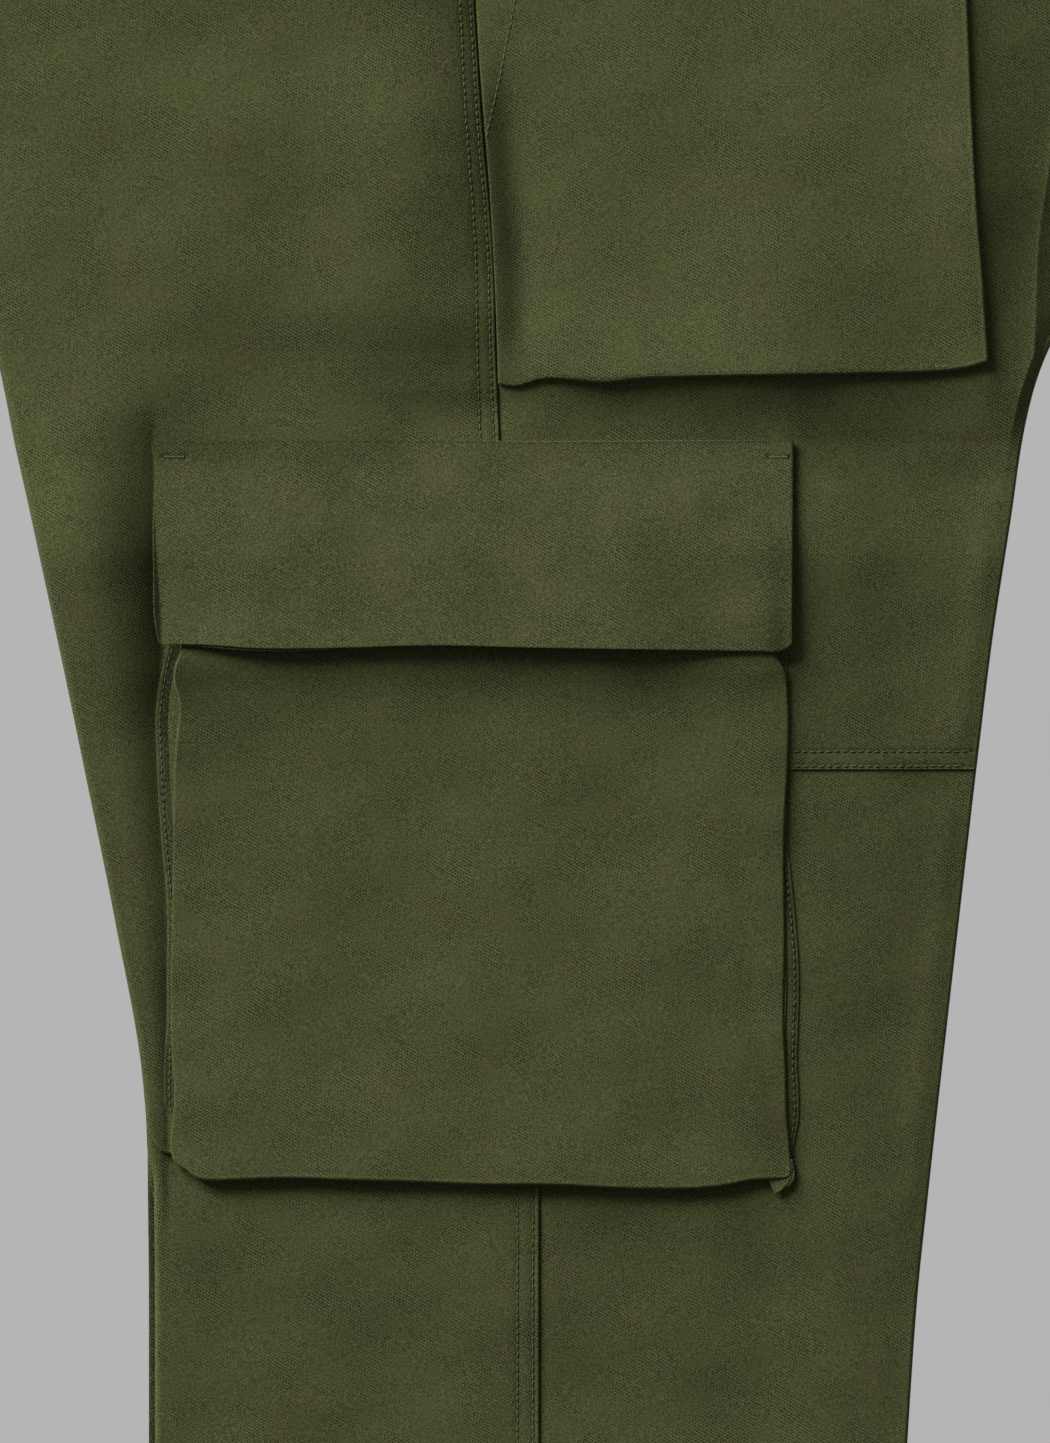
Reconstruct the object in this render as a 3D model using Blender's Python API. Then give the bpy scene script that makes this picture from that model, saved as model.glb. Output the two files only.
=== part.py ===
"""Cargo trousers, lying flat on their left side with the right leg on top.

X runs from the back edge to the front edge, Y towards the waist and Z up from
the surface. Drops are measured down from the top edge of the waistband. Each
leg is a flat tube: an outer wall, which faces away from the other leg, and an
inner wall, which lies on the other leg. The two meet in a turned fold at the
front and the back edge. The right leg's sections are built upwards from the
plane between the legs, and the left leg's downwards from it.
"""

import math
from collections import namedtuple

import bmesh
import bpy

# Driving sizes, in metres.
LENGTH = 1.040
CLOTH = 0.0012
POCKET_CLOTH = 0.0010
BAND_CLOTH = 0.0018
FLAP_CLOTH = 0.0016
SEAM_GAP = 0.0003
HIP_HALF = 0.0030
LEG_HALF = 0.0038
SEAM_ALLOWANCE = 0.0060
LAP_RISE = 0.0012
BAND_HEIGHT = 0.0400
FLY_END = 0.2050
FLY_LAP = 0.0090
CROTCH_POINT = 0.3370
KNEE_SEAM = 0.4410
FAR_LEG_STEP = 0.0023

RIGHT = 1
LEFT = -1
FRONT = 1
BACK = -1

# The outline and the outseam, by drop from the waist.
Section = namedtuple("Section", "drop back outseam front")
SECTIONS = (
    Section(0.0000, -0.2110, -0.0030, 0.2190),
    Section(0.0400, -0.2230, -0.0010, 0.2260),
    Section(0.0900, -0.2430, 0.0010, 0.2390),
    Section(0.1400, -0.2580, 0.0035, 0.2510),
    Section(0.1700, -0.2595, 0.0052, 0.2560),
    Section(0.1900, -0.2560, 0.0060, 0.2580),
    Section(0.2050, -0.2480, 0.0068, 0.2575),
    Section(0.2250, -0.2290, 0.0077, 0.2520),
    Section(0.2450, -0.2040, 0.0088, 0.2405),
    Section(0.2620, -0.1830, 0.0097, 0.2280),
    Section(0.2780, -0.1695, 0.0106, 0.2155),
    Section(0.2920, -0.1634, 0.0113, 0.2070),
    Section(0.3080, -0.1596, 0.0122, 0.2010),
    Section(0.3260, -0.1560, 0.0133, 0.1970),
    Section(0.3500, -0.1505, 0.0146, 0.1935),
    Section(0.3950, -0.1408, 0.0170, 0.1866),
    Section(KNEE_SEAM, -0.1313, 0.0194, 0.1809),
    Section(0.4935, -0.1207, 0.0221, 0.1748),
    Section(0.5495, -0.1110, 0.0250, 0.1684),
    Section(0.5700, -0.1096, 0.0261, 0.1661),
    Section(0.5900, -0.1094, 0.0271, 0.1639),
    Section(0.6250, -0.1092, 0.0271, 0.1603),
    Section(0.6760, -0.1092, 0.0271, 0.1568),
    Section(0.7600, -0.1091, 0.0268, 0.1519),
    Section(0.8500, -0.1090, 0.0263, 0.1470),
    Section(0.9450, -0.1090, 0.0257, 0.1428),
    Section(1.0400, -0.1090, 0.0250, 0.1390),
)

# How far in from the edges each inner wall reaches: to the crotch seam, and
# below it to the inseam.
Reach = namedtuple("Reach", "drop back front")
REACHES = (
    Reach(0.2620, -0.1770, 0.2220),
    Reach(0.2780, -0.1350, 0.2095),
    Reach(0.2920, -0.0870, 0.2010),
    Reach(0.3080, -0.0280, 0.1880),
    Reach(0.3260, 0.0400, 0.1350),
    Reach(CROTCH_POINT, 0.0670, 0.0670),
    Reach(0.4500, 0.0555, 0.0555),
    Reach(0.6000, 0.0470, 0.0470),
    Reach(0.8000, 0.0360, 0.0360),
    Reach(1.0400, 0.0230, 0.0230),
)

# The soft crease that runs down the front of each leg.
Crease = namedtuple("Crease", "drop x")
CREASES = (
    Crease(0.0000, 0.1910),
    Crease(0.0900, 0.2050),
    Crease(0.1500, 0.2110),
    Crease(0.1900, 0.2100),
    Crease(0.2260, 0.2065),
    Crease(0.2620, 0.2020),
    Crease(0.2880, 0.2009),
    Crease(0.3080, 0.1985),
    Crease(0.3260, 0.1900),
    Crease(1.0400, 0.1300),
)
LEAST_CREASE_SPAN = 0.0060

# How far the left leg is lifted by its own pockets, which lie under it.
HIP_POCKET_STACK = 0.0023
Lift = namedtuple("Lift", "drop height")
HIP_LIFTS = (Lift(0.3080, HIP_POCKET_STACK), Lift(0.3260, 0.0))
CARGO_LIFTS = (
    Lift(0.3080, 0.0000),
    Lift(0.3260, 0.0019),
    Lift(0.3660, 0.00615),
    Lift(0.5900, 0.00395),
    Lift(0.6250, 0.0000),
)
LEG_HALVES = (Lift(CROTCH_POINT, HIP_HALF), Lift(0.3660, LEG_HALF))
HIP_LIFT_BACK = (-0.0610, -0.0110)
CARGO_LIFT_BACK = (-0.1670, -0.1210)
CARGO_LIFT_FRONT = (0.1340, 0.1890)

# The lapped outseam is thicker, except where the cargo pocket is sewn over it.
LAPS = (
    Lift(0.3080, LAP_RISE),
    Lift(0.3260, 0.0),
    Lift(0.5900, 0.0),
    Lift(0.6250, LAP_RISE),
)
LAP_WIDTHS = (0.0080, 0.0140)

# Where a section has its points, as shares of the way from an edge inwards.
BACK_SHARES = (0.05, 0.15, 0.30, 0.50, 0.75)
FRONT_SHARES = (0.11, 0.24, 0.40, 0.60, 0.82)
FOLD_ANGLES = (90, 45, 0, -45, -90)

# The patch pockets: corners by x and drop, then the size of the round corner.
HIP_POCKET_TOP = 0.0403
HIP_POCKET_BOTTOM = (0.3055, 0.2995)
HIP_POCKET_FRONT = (0.1705, 0.1848)
HIP_POCKET_RADIUS = 0.0050
BAG_TOP = 0.3660
BAG_BOTTOM = (0.5845, 0.5845)
BAG_SAG = 0.0030
BAG_BACK = (-0.1000, -0.1005)
BAG_FRONT = (0.1138, 0.1155)
BAG_RADIUS = 0.0090
BAG_STAND = 0.0029
BAG_DOME = 0.0008
FLAP_TOP = 0.3263
FLAP_BOTTOM = 0.3985
FLAP_BACK = (-0.1067, -0.1047)
FLAP_FRONT = (0.1165, 0.1158)
FLAP_RADIUS = 0.0040
GUSSET_BACK = (-0.1050, -0.1017)
GUSSET_FRONT = (0.1145, 0.1180)
GUSSET_BOTTOM = 0.5810
GUSSET_RADIUS = 0.0120
GUSSET_FLANGE = 0.0200

# The waistband's lap, and the slack round its buried end.
BAND_LAP = 0.0240
BAND_RAMP = 0.0080
BAND_DIP = 0.0008
BAND_END_ROOM = 0.0025
BAND_LAP_SHORT = 0.0015

BUTTON_RADIUS = 0.0085
BUTTON_HEIGHT = 0.0030
BUTTON_HOLE = 0.0011
BUTTON_HOLE_SPREAD = 0.0016
BUTTON_SIDES = 24
BUTTON_PLACE = 0.55

OLIVE = (0.066, 0.074, 0.029)
OLIVE_BUTTON = (0.030, 0.033, 0.016)


def clear_scene():
    for old in list(bpy.data.objects):
        bpy.data.objects.remove(old, do_unlink=True)


def material(name, colour, roughness):
    finish = bpy.data.materials.new(name)
    finish.use_nodes = True
    shader = finish.node_tree.nodes["Principled BSDF"]
    shader.inputs["Base Color"].default_value = (*colour, 1.0)
    shader.inputs["Roughness"].default_value = roughness
    shader.inputs["Metallic"].default_value = 0.0
    return finish


def clamp(value, low=0.0, high=1.0):
    return max(low, min(high, value))


def soft_step(value, limits):
    share = clamp((value - limits[0]) / (limits[1] - limits[0]))
    return share * share * (3 - 2 * share)


def straight(rows, column, drop):
    """A column of a table at a drop, straight between its rows."""
    if drop <= rows[0].drop:
        return getattr(rows[0], column)
    for row, after in zip(rows, rows[1:]):
        if drop <= after.drop:
            share = (drop - row.drop) / (after.drop - row.drop)
            return getattr(row, column) * (1 - share) + getattr(after, column) * share
    return getattr(rows[-1], column)


def smooth(rows, column):
    """The column of a table as a curve that never overshoots its rows."""
    drops = [row.drop for row in rows]
    values = [getattr(row, column) for row in rows]
    steps = [
        (values[i + 1] - values[i]) / (drops[i + 1] - drops[i])
        for i in range(len(rows) - 1)
    ]
    slopes = [steps[0]]
    for before, after in zip(steps, steps[1:]):
        rising = before * after > 0
        slopes.append(2 * before * after / (before + after) if rising else 0.0)
    slopes.append(steps[-1])

    def at(drop):
        drop = clamp(drop, drops[0], drops[-1])
        i = max(k for k in range(len(rows) - 1) if drops[k] <= drop)
        span = drops[i + 1] - drops[i]
        t = (drop - drops[i]) / span
        return (
            values[i] * (1 + 2 * t) * (1 - t) ** 2
            + slopes[i] * span * t * (1 - t) ** 2
            + values[i + 1] * t * t * (3 - 2 * t)
            + slopes[i + 1] * span * t * t * (t - 1)
        )

    return at


back_line = smooth(SECTIONS, "back")
outseam_line = smooth(SECTIONS, "outseam")
front_line = smooth(SECTIONS, "front")
back_reach = smooth(REACHES, "back")
front_reach = smooth(REACHES, "front")
crease_line = smooth(CREASES, "x")


def edge(drop, face, side):
    """The silhouette of one leg at its front or back edge."""
    if face == FRONT:
        return front_line(drop)
    step = FAR_LEG_STEP * soft_step(drop, (0.5495, 0.5900))
    return back_line(drop) + (step if side == RIGHT else 0.0)


def crease(drop):
    return min(crease_line(drop), front_line(drop) - LEAST_CREASE_SPAN)


def reach(drop, face):
    """Where the inner wall ends: 6 mm in from the edge, the crotch seam or the inseam."""
    if drop < REACHES[0].drop:
        return edge(drop, face, LEFT) - face * SEAM_ALLOWANCE
    at_crotch = drop < CROTCH_POINT and face == BACK
    end = back_reach(drop) if at_crotch else front_reach(drop)
    return end + face * SEAM_GAP / 2


def half(drop):
    """Half the thickness of the two legs together."""
    return straight(LEG_HALVES, "height", drop)


def bed(x, drop):
    """Height of the left leg's outer wall above the surface."""
    to_edge = clamp((front_line(drop) - x) / (front_line(drop) - crease(drop)))
    hip = straight(HIP_LIFTS, "height", drop) * soft_step(x, HIP_LIFT_BACK) * to_edge
    beside = soft_step(x, CARGO_LIFT_BACK) * (1 - soft_step(x, CARGO_LIFT_FRONT))
    return hip + straight(CARGO_LIFTS, "height", drop) * beside


def height(x, drop, side, out):
    """Height of a point that lies a distance out from the plane between the legs."""
    if side == RIGHT:
        return bed(x, drop) + half(drop) + out
    return bed(x, drop) + (half(drop) - out)


def point(x, drop, z):
    return (x, LENGTH / 2 - drop, z)


def add_object(name, points, faces, finish):
    mesh = bpy.data.meshes.new(name)
    mesh.from_pydata(points, [], faces)
    mesh.materials.append(finish)
    shape = bmesh.new()
    shape.from_mesh(mesh)
    bmesh.ops.recalc_face_normals(shape, faces=shape.faces)
    shape.to_mesh(mesh)
    shape.free()
    mesh.shade_smooth()
    mesh.set_sharp_from_angle(angle=math.radians(40))
    made = bpy.data.objects.new(name, mesh)
    bpy.context.scene.collection.objects.link(made)
    return made


def loft_wall(name, sections, finish):
    """A wall from sections of equal length, each its outer path and its inner path."""
    count = len(sections[0][0])
    points = []
    for outer, inner in sections:
        points += outer + inner[::-1]
    ring = 2 * count
    faces = []
    for row in range(len(sections) - 1):
        first = row * ring
        for i in range(ring):
            after = (i + 1) % ring
            faces.append((first + i, first + after, first + ring + after))
            faces.append((first + i, first + ring + after, first + ring + i))
    for first in (0, (len(sections) - 1) * ring):
        for i in range(count - 1):
            faces.append((first + i, first + i + 1, first + ring - 2 - i, first + ring - 1 - i))
    return add_object(name, points, faces, finish)


def outer_spans(drop, face, side):
    """Distances in from the edge of the outer wall's points, the outseam first."""
    width = abs(outseam_line(drop) - edge(drop, face, side)) - SEAM_GAP / 2
    radius = (half(drop) - SEAM_GAP / 2) / 2
    if face == BACK:
        shares = [radius + share * (width - radius) for share in BACK_SHARES[::-1]]
        return [width] + [width - lap for lap in LAP_WIDTHS] + shares
    span = front_line(drop) - crease(drop)
    shares = [span + share * (width - span) for share in FRONT_SHARES[::-1]]
    return [width] + shares + [span, max(span / 2, radius + SEAM_GAP)]


def inner_spans(drop, face, side):
    """The same for the inner wall, from the edge inwards."""
    end = abs(reach(drop, face) - edge(drop, face, side))
    radius = (half(drop) - SEAM_GAP / 2) / 2
    if face == BACK:
        width = min(end, abs(outseam_line(drop) - edge(drop, face, side)))
        return [radius + share * (width - radius) for share in BACK_SHARES] + [end]
    span = min(front_line(drop) - crease(drop), (end + radius) / 2)
    shares = [span + share * (end - span) for share in FRONT_SHARES]
    return [max(span / 2, radius + SEAM_GAP / 2), span] + shares + [end]


def panel_section(drop, face, side):
    """The outer and inner paths of one section, from the outseam round the edge."""
    rim = edge(drop, face, side)
    lap = straight(LAPS, "height", drop) if side == RIGHT and face == BACK else 0.0
    outer, inner = [], []

    def add(span, out_high, out_low, span_low=None):
        x_high = rim - face * span
        x_low = rim - face * (span if span_low is None else span_low)
        outer.append(point(x_high, drop, height(x_high, drop, side, out_high)))
        inner.append(point(x_low, drop, height(x_low, drop, side, out_low)))

    for index, span in enumerate(outer_spans(drop, face, side)):
        rise = lap if face == BACK and index < 2 else 0.0
        add(span, half(drop) + rise, half(drop) - CLOTH)
    middle = (half(drop) + SEAM_GAP / 2) / 2
    radius = (half(drop) - SEAM_GAP / 2) / 2
    for angle in FOLD_ANGLES:
        turn = math.radians(angle)
        across, up = math.cos(turn), math.sin(turn)
        hollow = radius - CLOTH
        add(
            radius - radius * across,
            middle + radius * up,
            middle + hollow * up,
            radius - hollow * across,
        )
    for span in inner_spans(drop, face, side):
        add(span, SEAM_GAP / 2, SEAM_GAP / 2 + CLOTH)
    return outer, inner


def panel(name, face, side, start, end, finish):
    """A front or back piece, from one cross seam to the next."""
    rows = [row.drop for row in SECTIONS] + [row.drop for row in LEG_HALVES]
    drops = [start] + sorted(drop for drop in rows if start < drop < end) + [end]
    sections = [panel_section(drop, face, side) for drop in drops]
    return loft_wall(name, sections, finish)


class Patch:
    """A four-sided piece that lies on a leg's outer wall, with turned or cut edges.

    Its edges are given by functions of the drop (back, front) and of the share
    across (top, bottom). A place on it is measured in metres along and down
    from its top back corner, on its nominal size.
    """

    def __init__(self, back, front, top, bottom, radius):
        self.back, self.front, self.top, self.bottom = back, front, top, bottom
        self.radius = radius
        middle = (top(0.5) + bottom(0.5)) / 2
        self.width = front(middle) - back(middle)
        self.depth = bottom(0.5) - top(0.5)

    def place(self, along, down):
        """x and drop of a place."""
        across = along / self.width
        share = down / self.depth
        drop = self.top(across) * (1 - share) + self.bottom(across) * share
        return self.back(drop) * (1 - across) + self.front(drop) * across, drop

    def corner(self, which, angle, inset):
        """A point of a round corner: which is 0 to 3, from the top back one, clockwise."""
        radius = max(self.radius - inset, SEAM_GAP)
        offset = inset + radius
        turn = math.radians(angle)
        near = offset - radius * math.cos(turn)
        far = offset - radius * math.sin(turn)
        if which == 0:
            return near, far
        if which == 1:
            return self.width - far, near
        if which == 2:
            return self.width - near, self.depth - far
        return far, self.depth - near


def make_patch(name, patch, side, alongs, downs, profile, low, top, inner, finish):
    """A patch as one solid, its rim following a profile of (inset, level).

    low, top and inner give the rim's lowest height, the outer face and the
    inner face above the panel, by x and drop.
    """
    columns, rows = len(alongs), len(downs)
    rim = [(0, j) for j in range(rows - 1, 0, -1)]
    rim += [(i, 0) for i in range(columns - 1)]
    rim += [(columns - 1, j) for j in range(rows - 1)]
    rim += [(i, rows - 1) for i in range(columns - 1, 0, -1)]
    corners = {(0, 0): 0, (columns - 1, 0): 1, (columns - 1, rows - 1): 2, (0, rows - 1): 3}
    entries = []
    for key in rim:
        if key in corners:
            entries += [(key, angle) for angle in (0, 30, 60, 90)]
        else:
            entries.append((key, None))

    points, faces = [], []

    def on_panel(along, down, rise):
        x, drop = patch.place(along, down)
        out = half(drop) + rise(x, drop)
        points.append(point(x, drop, height(x, drop, side, out)))
        return len(points) - 1

    def ring(inset, level):
        def rise(x, drop):
            return low(x, drop) * (1 - level) + top(x, drop) * level

        made = []
        for (i, j), angle in entries:
            along, down = alongs[i], downs[j]
            if angle is not None:
                along, down = patch.corner(corners[(i, j)], angle, inset)
            elif i == 0:
                along = inset
            elif i == columns - 1:
                along = patch.width - inset
            elif j == 0:
                down = inset
            else:
                down = patch.depth - inset
            made.append(on_panel(along, down, rise))
        return made

    def grid(rise):
        made = {}
        for i in range(columns):
            for j in range(rows):
                made[(i, j)] = on_panel(alongs[i], downs[j], rise)
        for i in range(columns - 1):
            for j in range(rows - 1):
                cell = ((i, j), (i + 1, j), (i + 1, j + 1), (i, j + 1))
                faces.append(tuple(made[key] for key in cell))
        return made

    def band(first, second):
        for i in range(len(entries)):
            after = (i + 1) % len(entries)
            loop = [first[i], first[after], second[after], second[i]]
            faces.append(tuple(dict.fromkeys(loop)))

    upper, lower = grid(top), grid(inner)
    rings = [[upper[key] for key, _ in entries]]
    rings += [ring(inset, level) for inset, level in profile]
    rings.append([lower[key] for key, _ in entries])
    for first, second in zip(rings, rings[1:]):
        band(first, second)
    return add_object(name, points, faces, finish)


def between(pair, limits):
    """A line through two values at the two limits."""
    return lambda drop: pair[0] + (pair[1] - pair[0]) * (drop - limits[0]) / (limits[1] - limits[0])


def hip_pocket(name, side, finish):
    """A large patch sewn into the outseam and the waistband, its other edges turned under."""
    limits = (HIP_POCKET_TOP, HIP_POCKET_BOTTOM[1])
    patch = Patch(
        back=lambda drop: outseam_line(drop) + SEAM_GAP,
        front=between(HIP_POCKET_FRONT, limits),
        top=lambda across: HIP_POCKET_TOP,
        bottom=between(HIP_POCKET_BOTTOM, (0.0, 1.0)),
        radius=HIP_POCKET_RADIUS,
    )
    rim, sewn = 0.0110, 0.0200

    def top(x, drop):
        from_seam = x - outseam_line(drop)
        from_band = drop - HIP_POCKET_TOP
        loose = clamp(from_seam / sewn) * clamp(from_band / sewn)
        return SEAM_GAP + POCKET_CLOTH * (1 + loose)

    w, d = patch.width, patch.depth
    alongs = (rim, 0.021, 0.070, 0.120, w - rim)
    downs = (rim, 0.021, 0.090, 0.160, 0.220, d - rim)
    profile = ((0.0006, 1), (0, 0.75), (0.0004, 0.5), (0, 0.25), (0.0006, 0), (0.0100, 0))
    return make_patch(
        name, patch, side, alongs, downs, profile,
        low=lambda x, drop: SEAM_GAP,
        top=top,
        inner=lambda x, drop: top(x, drop) - POCKET_CLOTH,
        finish=finish,
    )


def cargo_bag(name, side, finish):
    """The face of the bellows pocket, joined to its gusset round three sides."""
    limits = (BAG_TOP, BAG_BOTTOM[0])
    patch = Patch(
        back=between(BAG_BACK, limits),
        front=between(BAG_FRONT, limits),
        top=lambda across: BAG_TOP,
        bottom=lambda across: BAG_BOTTOM[0] + BAG_SAG * math.sin(math.pi * clamp(across)),
        radius=BAG_RADIUS,
    )

    def stand(x, drop):
        across = clamp((x - BAG_BACK[0]) / (BAG_FRONT[0] - BAG_BACK[0]))
        down = clamp((drop - BAG_TOP) / (BAG_BOTTOM[0] - BAG_TOP))
        dome = BAG_DOME if side == RIGHT else 0.0
        return BAG_STAND + dome * math.sin(math.pi * across) * math.sin(math.pi * down)

    w, d = patch.width, patch.depth
    rim = 0.0100
    alongs = (rim, 0.060, w / 2, w - 0.060, w - rim)
    downs = (rim, 0.055, d / 2, d - 0.055, d - rim)
    profile = ((0.0008, 1), (0, 0.5), (0.0008, 0))
    return make_patch(
        name, patch, side, alongs, downs, profile,
        low=stand,
        top=lambda x, drop: stand(x, drop) + POCKET_CLOTH,
        inner=stand,
        finish=finish,
    )


def cargo_flap(name, side, finish):
    """Two layers of cloth, sewn along the top and hanging over the pocket's mouth."""
    limits = (FLAP_TOP, FLAP_BOTTOM)
    patch = Patch(
        back=between(FLAP_BACK, limits),
        front=between(FLAP_FRONT, limits),
        top=lambda across: FLAP_TOP,
        bottom=lambda across: FLAP_BOTTOM,
        radius=FLAP_RADIUS,
    )
    over_bag = BAG_STAND + BAG_DOME + POCKET_CLOTH
    rise_from = FLAP_TOP + 0.0040
    rise_to = BAG_TOP - 0.0030

    def low(x, drop):
        share = clamp((drop - rise_from) / (rise_to - rise_from))
        rise = SEAM_GAP + (over_bag - SEAM_GAP) * share
        return rise if side == RIGHT else min(rise, bed(x, drop) - FLAP_CLOTH)

    w, d = patch.width, patch.depth
    rim = 0.0070
    marks = (rise_from, CROTCH_POINT, 0.3500, rise_to, BAG_TOP, 0.3763, FLAP_BOTTOM - rim)
    alongs = (rim, 0.045, 0.082, w / 2, w - 0.082, w - 0.045, w - rim)
    downs = tuple(mark - FLAP_TOP for mark in marks)
    profile = ((0.0006, 1), (0, 0.75), (0.0004, 0.5), (0, 0.25), (0.0006, 0))
    return make_patch(
        name, patch, side, alongs, downs, profile,
        low=low,
        top=lambda x, drop: low(x, drop) + FLAP_CLOTH,
        inner=low,
        finish=finish,
    )


def cargo_gusset(name, side, finish):
    """The pleated strip between the leg and the pocket's face, round three sides."""
    limits = (BAG_TOP, GUSSET_BOTTOM)
    patch = Patch(
        back=between(GUSSET_BACK, limits),
        front=between(GUSSET_FRONT, limits),
        top=lambda across: BAG_TOP,
        bottom=lambda across: GUSSET_BOTTOM,
        radius=GUSSET_RADIUS,
    )
    cloth = POCKET_CLOTH
    upper = SEAM_GAP + cloth + SEAM_GAP
    bag_seam = 0.0040
    turn = GUSSET_FLANGE
    outer_path = ((0, SEAM_GAP), (turn, SEAM_GAP), (turn + cloth, upper - SEAM_GAP / 2),
                  (turn, upper + cloth), (bag_seam, upper + cloth))
    inner_path = ((0, SEAM_GAP + cloth), (turn - cloth / 2, SEAM_GAP + cloth),
                  (turn - cloth / 2 + SEAM_GAP / 2, upper - SEAM_GAP / 2),
                  (turn - cloth / 2, upper), (bag_seam, upper))
    w, d = patch.width, patch.depth
    corner_room = GUSSET_FLANGE + cloth + 0.001
    stations = [("back", step * d / 5) for step in range(5)]
    stations.append(("back", d - corner_room))
    stations += [(3, angle) for angle in (90, 60, 30, 0)]
    stations += [("bottom", share * w) for share in (0.12, 0.3, 0.5, 0.7, 0.88)]
    stations += [(2, angle) for angle in (90, 60, 30, 0)]
    stations.append(("front", d - corner_room))
    stations += [("front", step * d / 5) for step in range(4, -1, -1)]

    def station_point(kind, value, inset, out):
        if kind == "back":
            along, down = inset, value
        elif kind == "front":
            along, down = w - inset, value
        elif kind == "bottom":
            along, down = value, d - inset
        else:
            along, down = patch.corner(kind, value, inset)
        x, drop = patch.place(along, down)
        return point(x, drop, height(x, drop, side, half(drop) + out))

    sections = []
    for kind, value in stations:
        sections.append(tuple(
            [station_point(kind, value, inset, out) for inset, out in path]
            for path in (outer_path, inner_path)
        ))
    return loft_wall(name, sections, finish)


def waistband(finish):
    """One strip round the waist, its left end lapped over the right end at the front.

    Gives the height of the lap's top above the plane between the legs.
    """
    wall = BAND_CLOTH / 2
    side_out = HIP_HALF - wall
    dip_out = SEAM_GAP + wall - BAND_DIP
    lap_out = dip_out + 2 * wall + SEAM_GAP
    back_radius = side_out
    front_radius = (lap_out + side_out) / 2
    front_middle = (lap_out - side_out) / 2
    under_end = front_radius + wall + BAND_END_ROOM
    ramp_end = BAND_LAP + BAND_RAMP
    shares = (0.78, 0.62, 0.48, 0.34, 0.2, 0.08)
    angles = (90, 54, 18, -18, -54, -90)

    path = [("front", under_end, dip_out), ("front", BAND_LAP, dip_out)]
    path += [("front", ramp_end, side_out)]
    path += [("share", share, side_out) for share in shares]
    path += [("back", angle, 0.0) for angle in angles]
    path += [("share", share, -side_out) for share in shares[::-1]]
    path += [("front", ramp_end, -side_out), ("front", BAND_LAP, -side_out)]
    path += [("turn", angle, 0.0) for angle in angles[::-1]]
    path += [("front", BAND_LAP / 2, lap_out), ("front", BAND_LAP - BAND_LAP_SHORT, lap_out)]

    def middle_line(drop):
        first, last = back_line(drop), front_line(drop)
        for kind, value, out in path:
            if kind == "front":
                yield last - value, out
            elif kind == "share":
                yield first + (last - first) * value, out
            elif kind == "back":
                turn = math.radians(value)
                reach_out = back_radius + wall
                x = first + reach_out - back_radius * math.cos(turn)
                yield x, back_radius * math.sin(turn)
            else:
                turn = math.radians(value)
                reach_out = front_radius + wall
                x = last - reach_out + front_radius * math.cos(turn)
                yield x, front_middle + front_radius * math.sin(turn)

    def faces_of(drop):
        """The strip's outer and inner points at one drop."""
        line = list(middle_line(drop))
        outer, inner = [], []
        for index, (x, out) in enumerate(line):
            x0, out0 = line[max(index - 1, 0)]
            x1, out1 = line[min(index + 1, len(line) - 1)]
            length = math.hypot(x1 - x0, out1 - out0)
            normal = ((out1 - out0) / length, -(x1 - x0) / length)
            for sign, made in ((1, outer), (-1, inner)):
                x_face = x + sign * wall * normal[0]
                out_face = out + sign * wall * normal[1]
                z = bed(x_face, drop) + HIP_HALF + out_face
                made.append(point(x_face, drop, max(z, 0.0)))
        return outer, inner

    bottom = BAND_HEIGHT - SEAM_GAP / 2
    rows = [faces_of(drop) for drop in (0.0, bottom / 2, bottom)]
    sections = []
    for index in range(len(path)):
        outer = [row[0][index] for row in rows]
        inner = [row[1][index] for row in rows]
        sections.append((outer, inner))
    loft_wall("waistband", sections, finish)
    return lap_out + wall


def fly(finish):
    """The left front's turned edge, lapped over the right front down to the crotch."""
    inside = [row.drop for row in SECTIONS if BAND_HEIGHT < row.drop < FLY_END]
    drops = [BAND_HEIGHT + 2 * SEAM_GAP] + inside + [FLY_END]
    radius = (HIP_HALF - SEAM_GAP / 2) / 2
    middle = (HIP_HALF + SEAM_GAP / 2) / 2
    sections = []
    for drop in drops:
        rim = front_line(drop)
        paths = []
        for gap in (SEAM_GAP + CLOTH, SEAM_GAP):
            line = [(rim - span, HIP_HALF + gap) for span in (FLY_LAP, FLY_LAP / 2)]
            for angle in (90, 60, 30, 0, -30):
                turn = math.radians(angle)
                x = rim - radius + (radius + gap) * math.cos(turn)
                line.append((x, middle + (radius + gap) * math.sin(turn)))
            paths.append([
                point(x, drop, bed(min(x, rim), drop) + HIP_HALF + out) for x, out in line
            ])
        sections.append(tuple(paths))
    loft_wall("fly", sections, finish)


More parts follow.
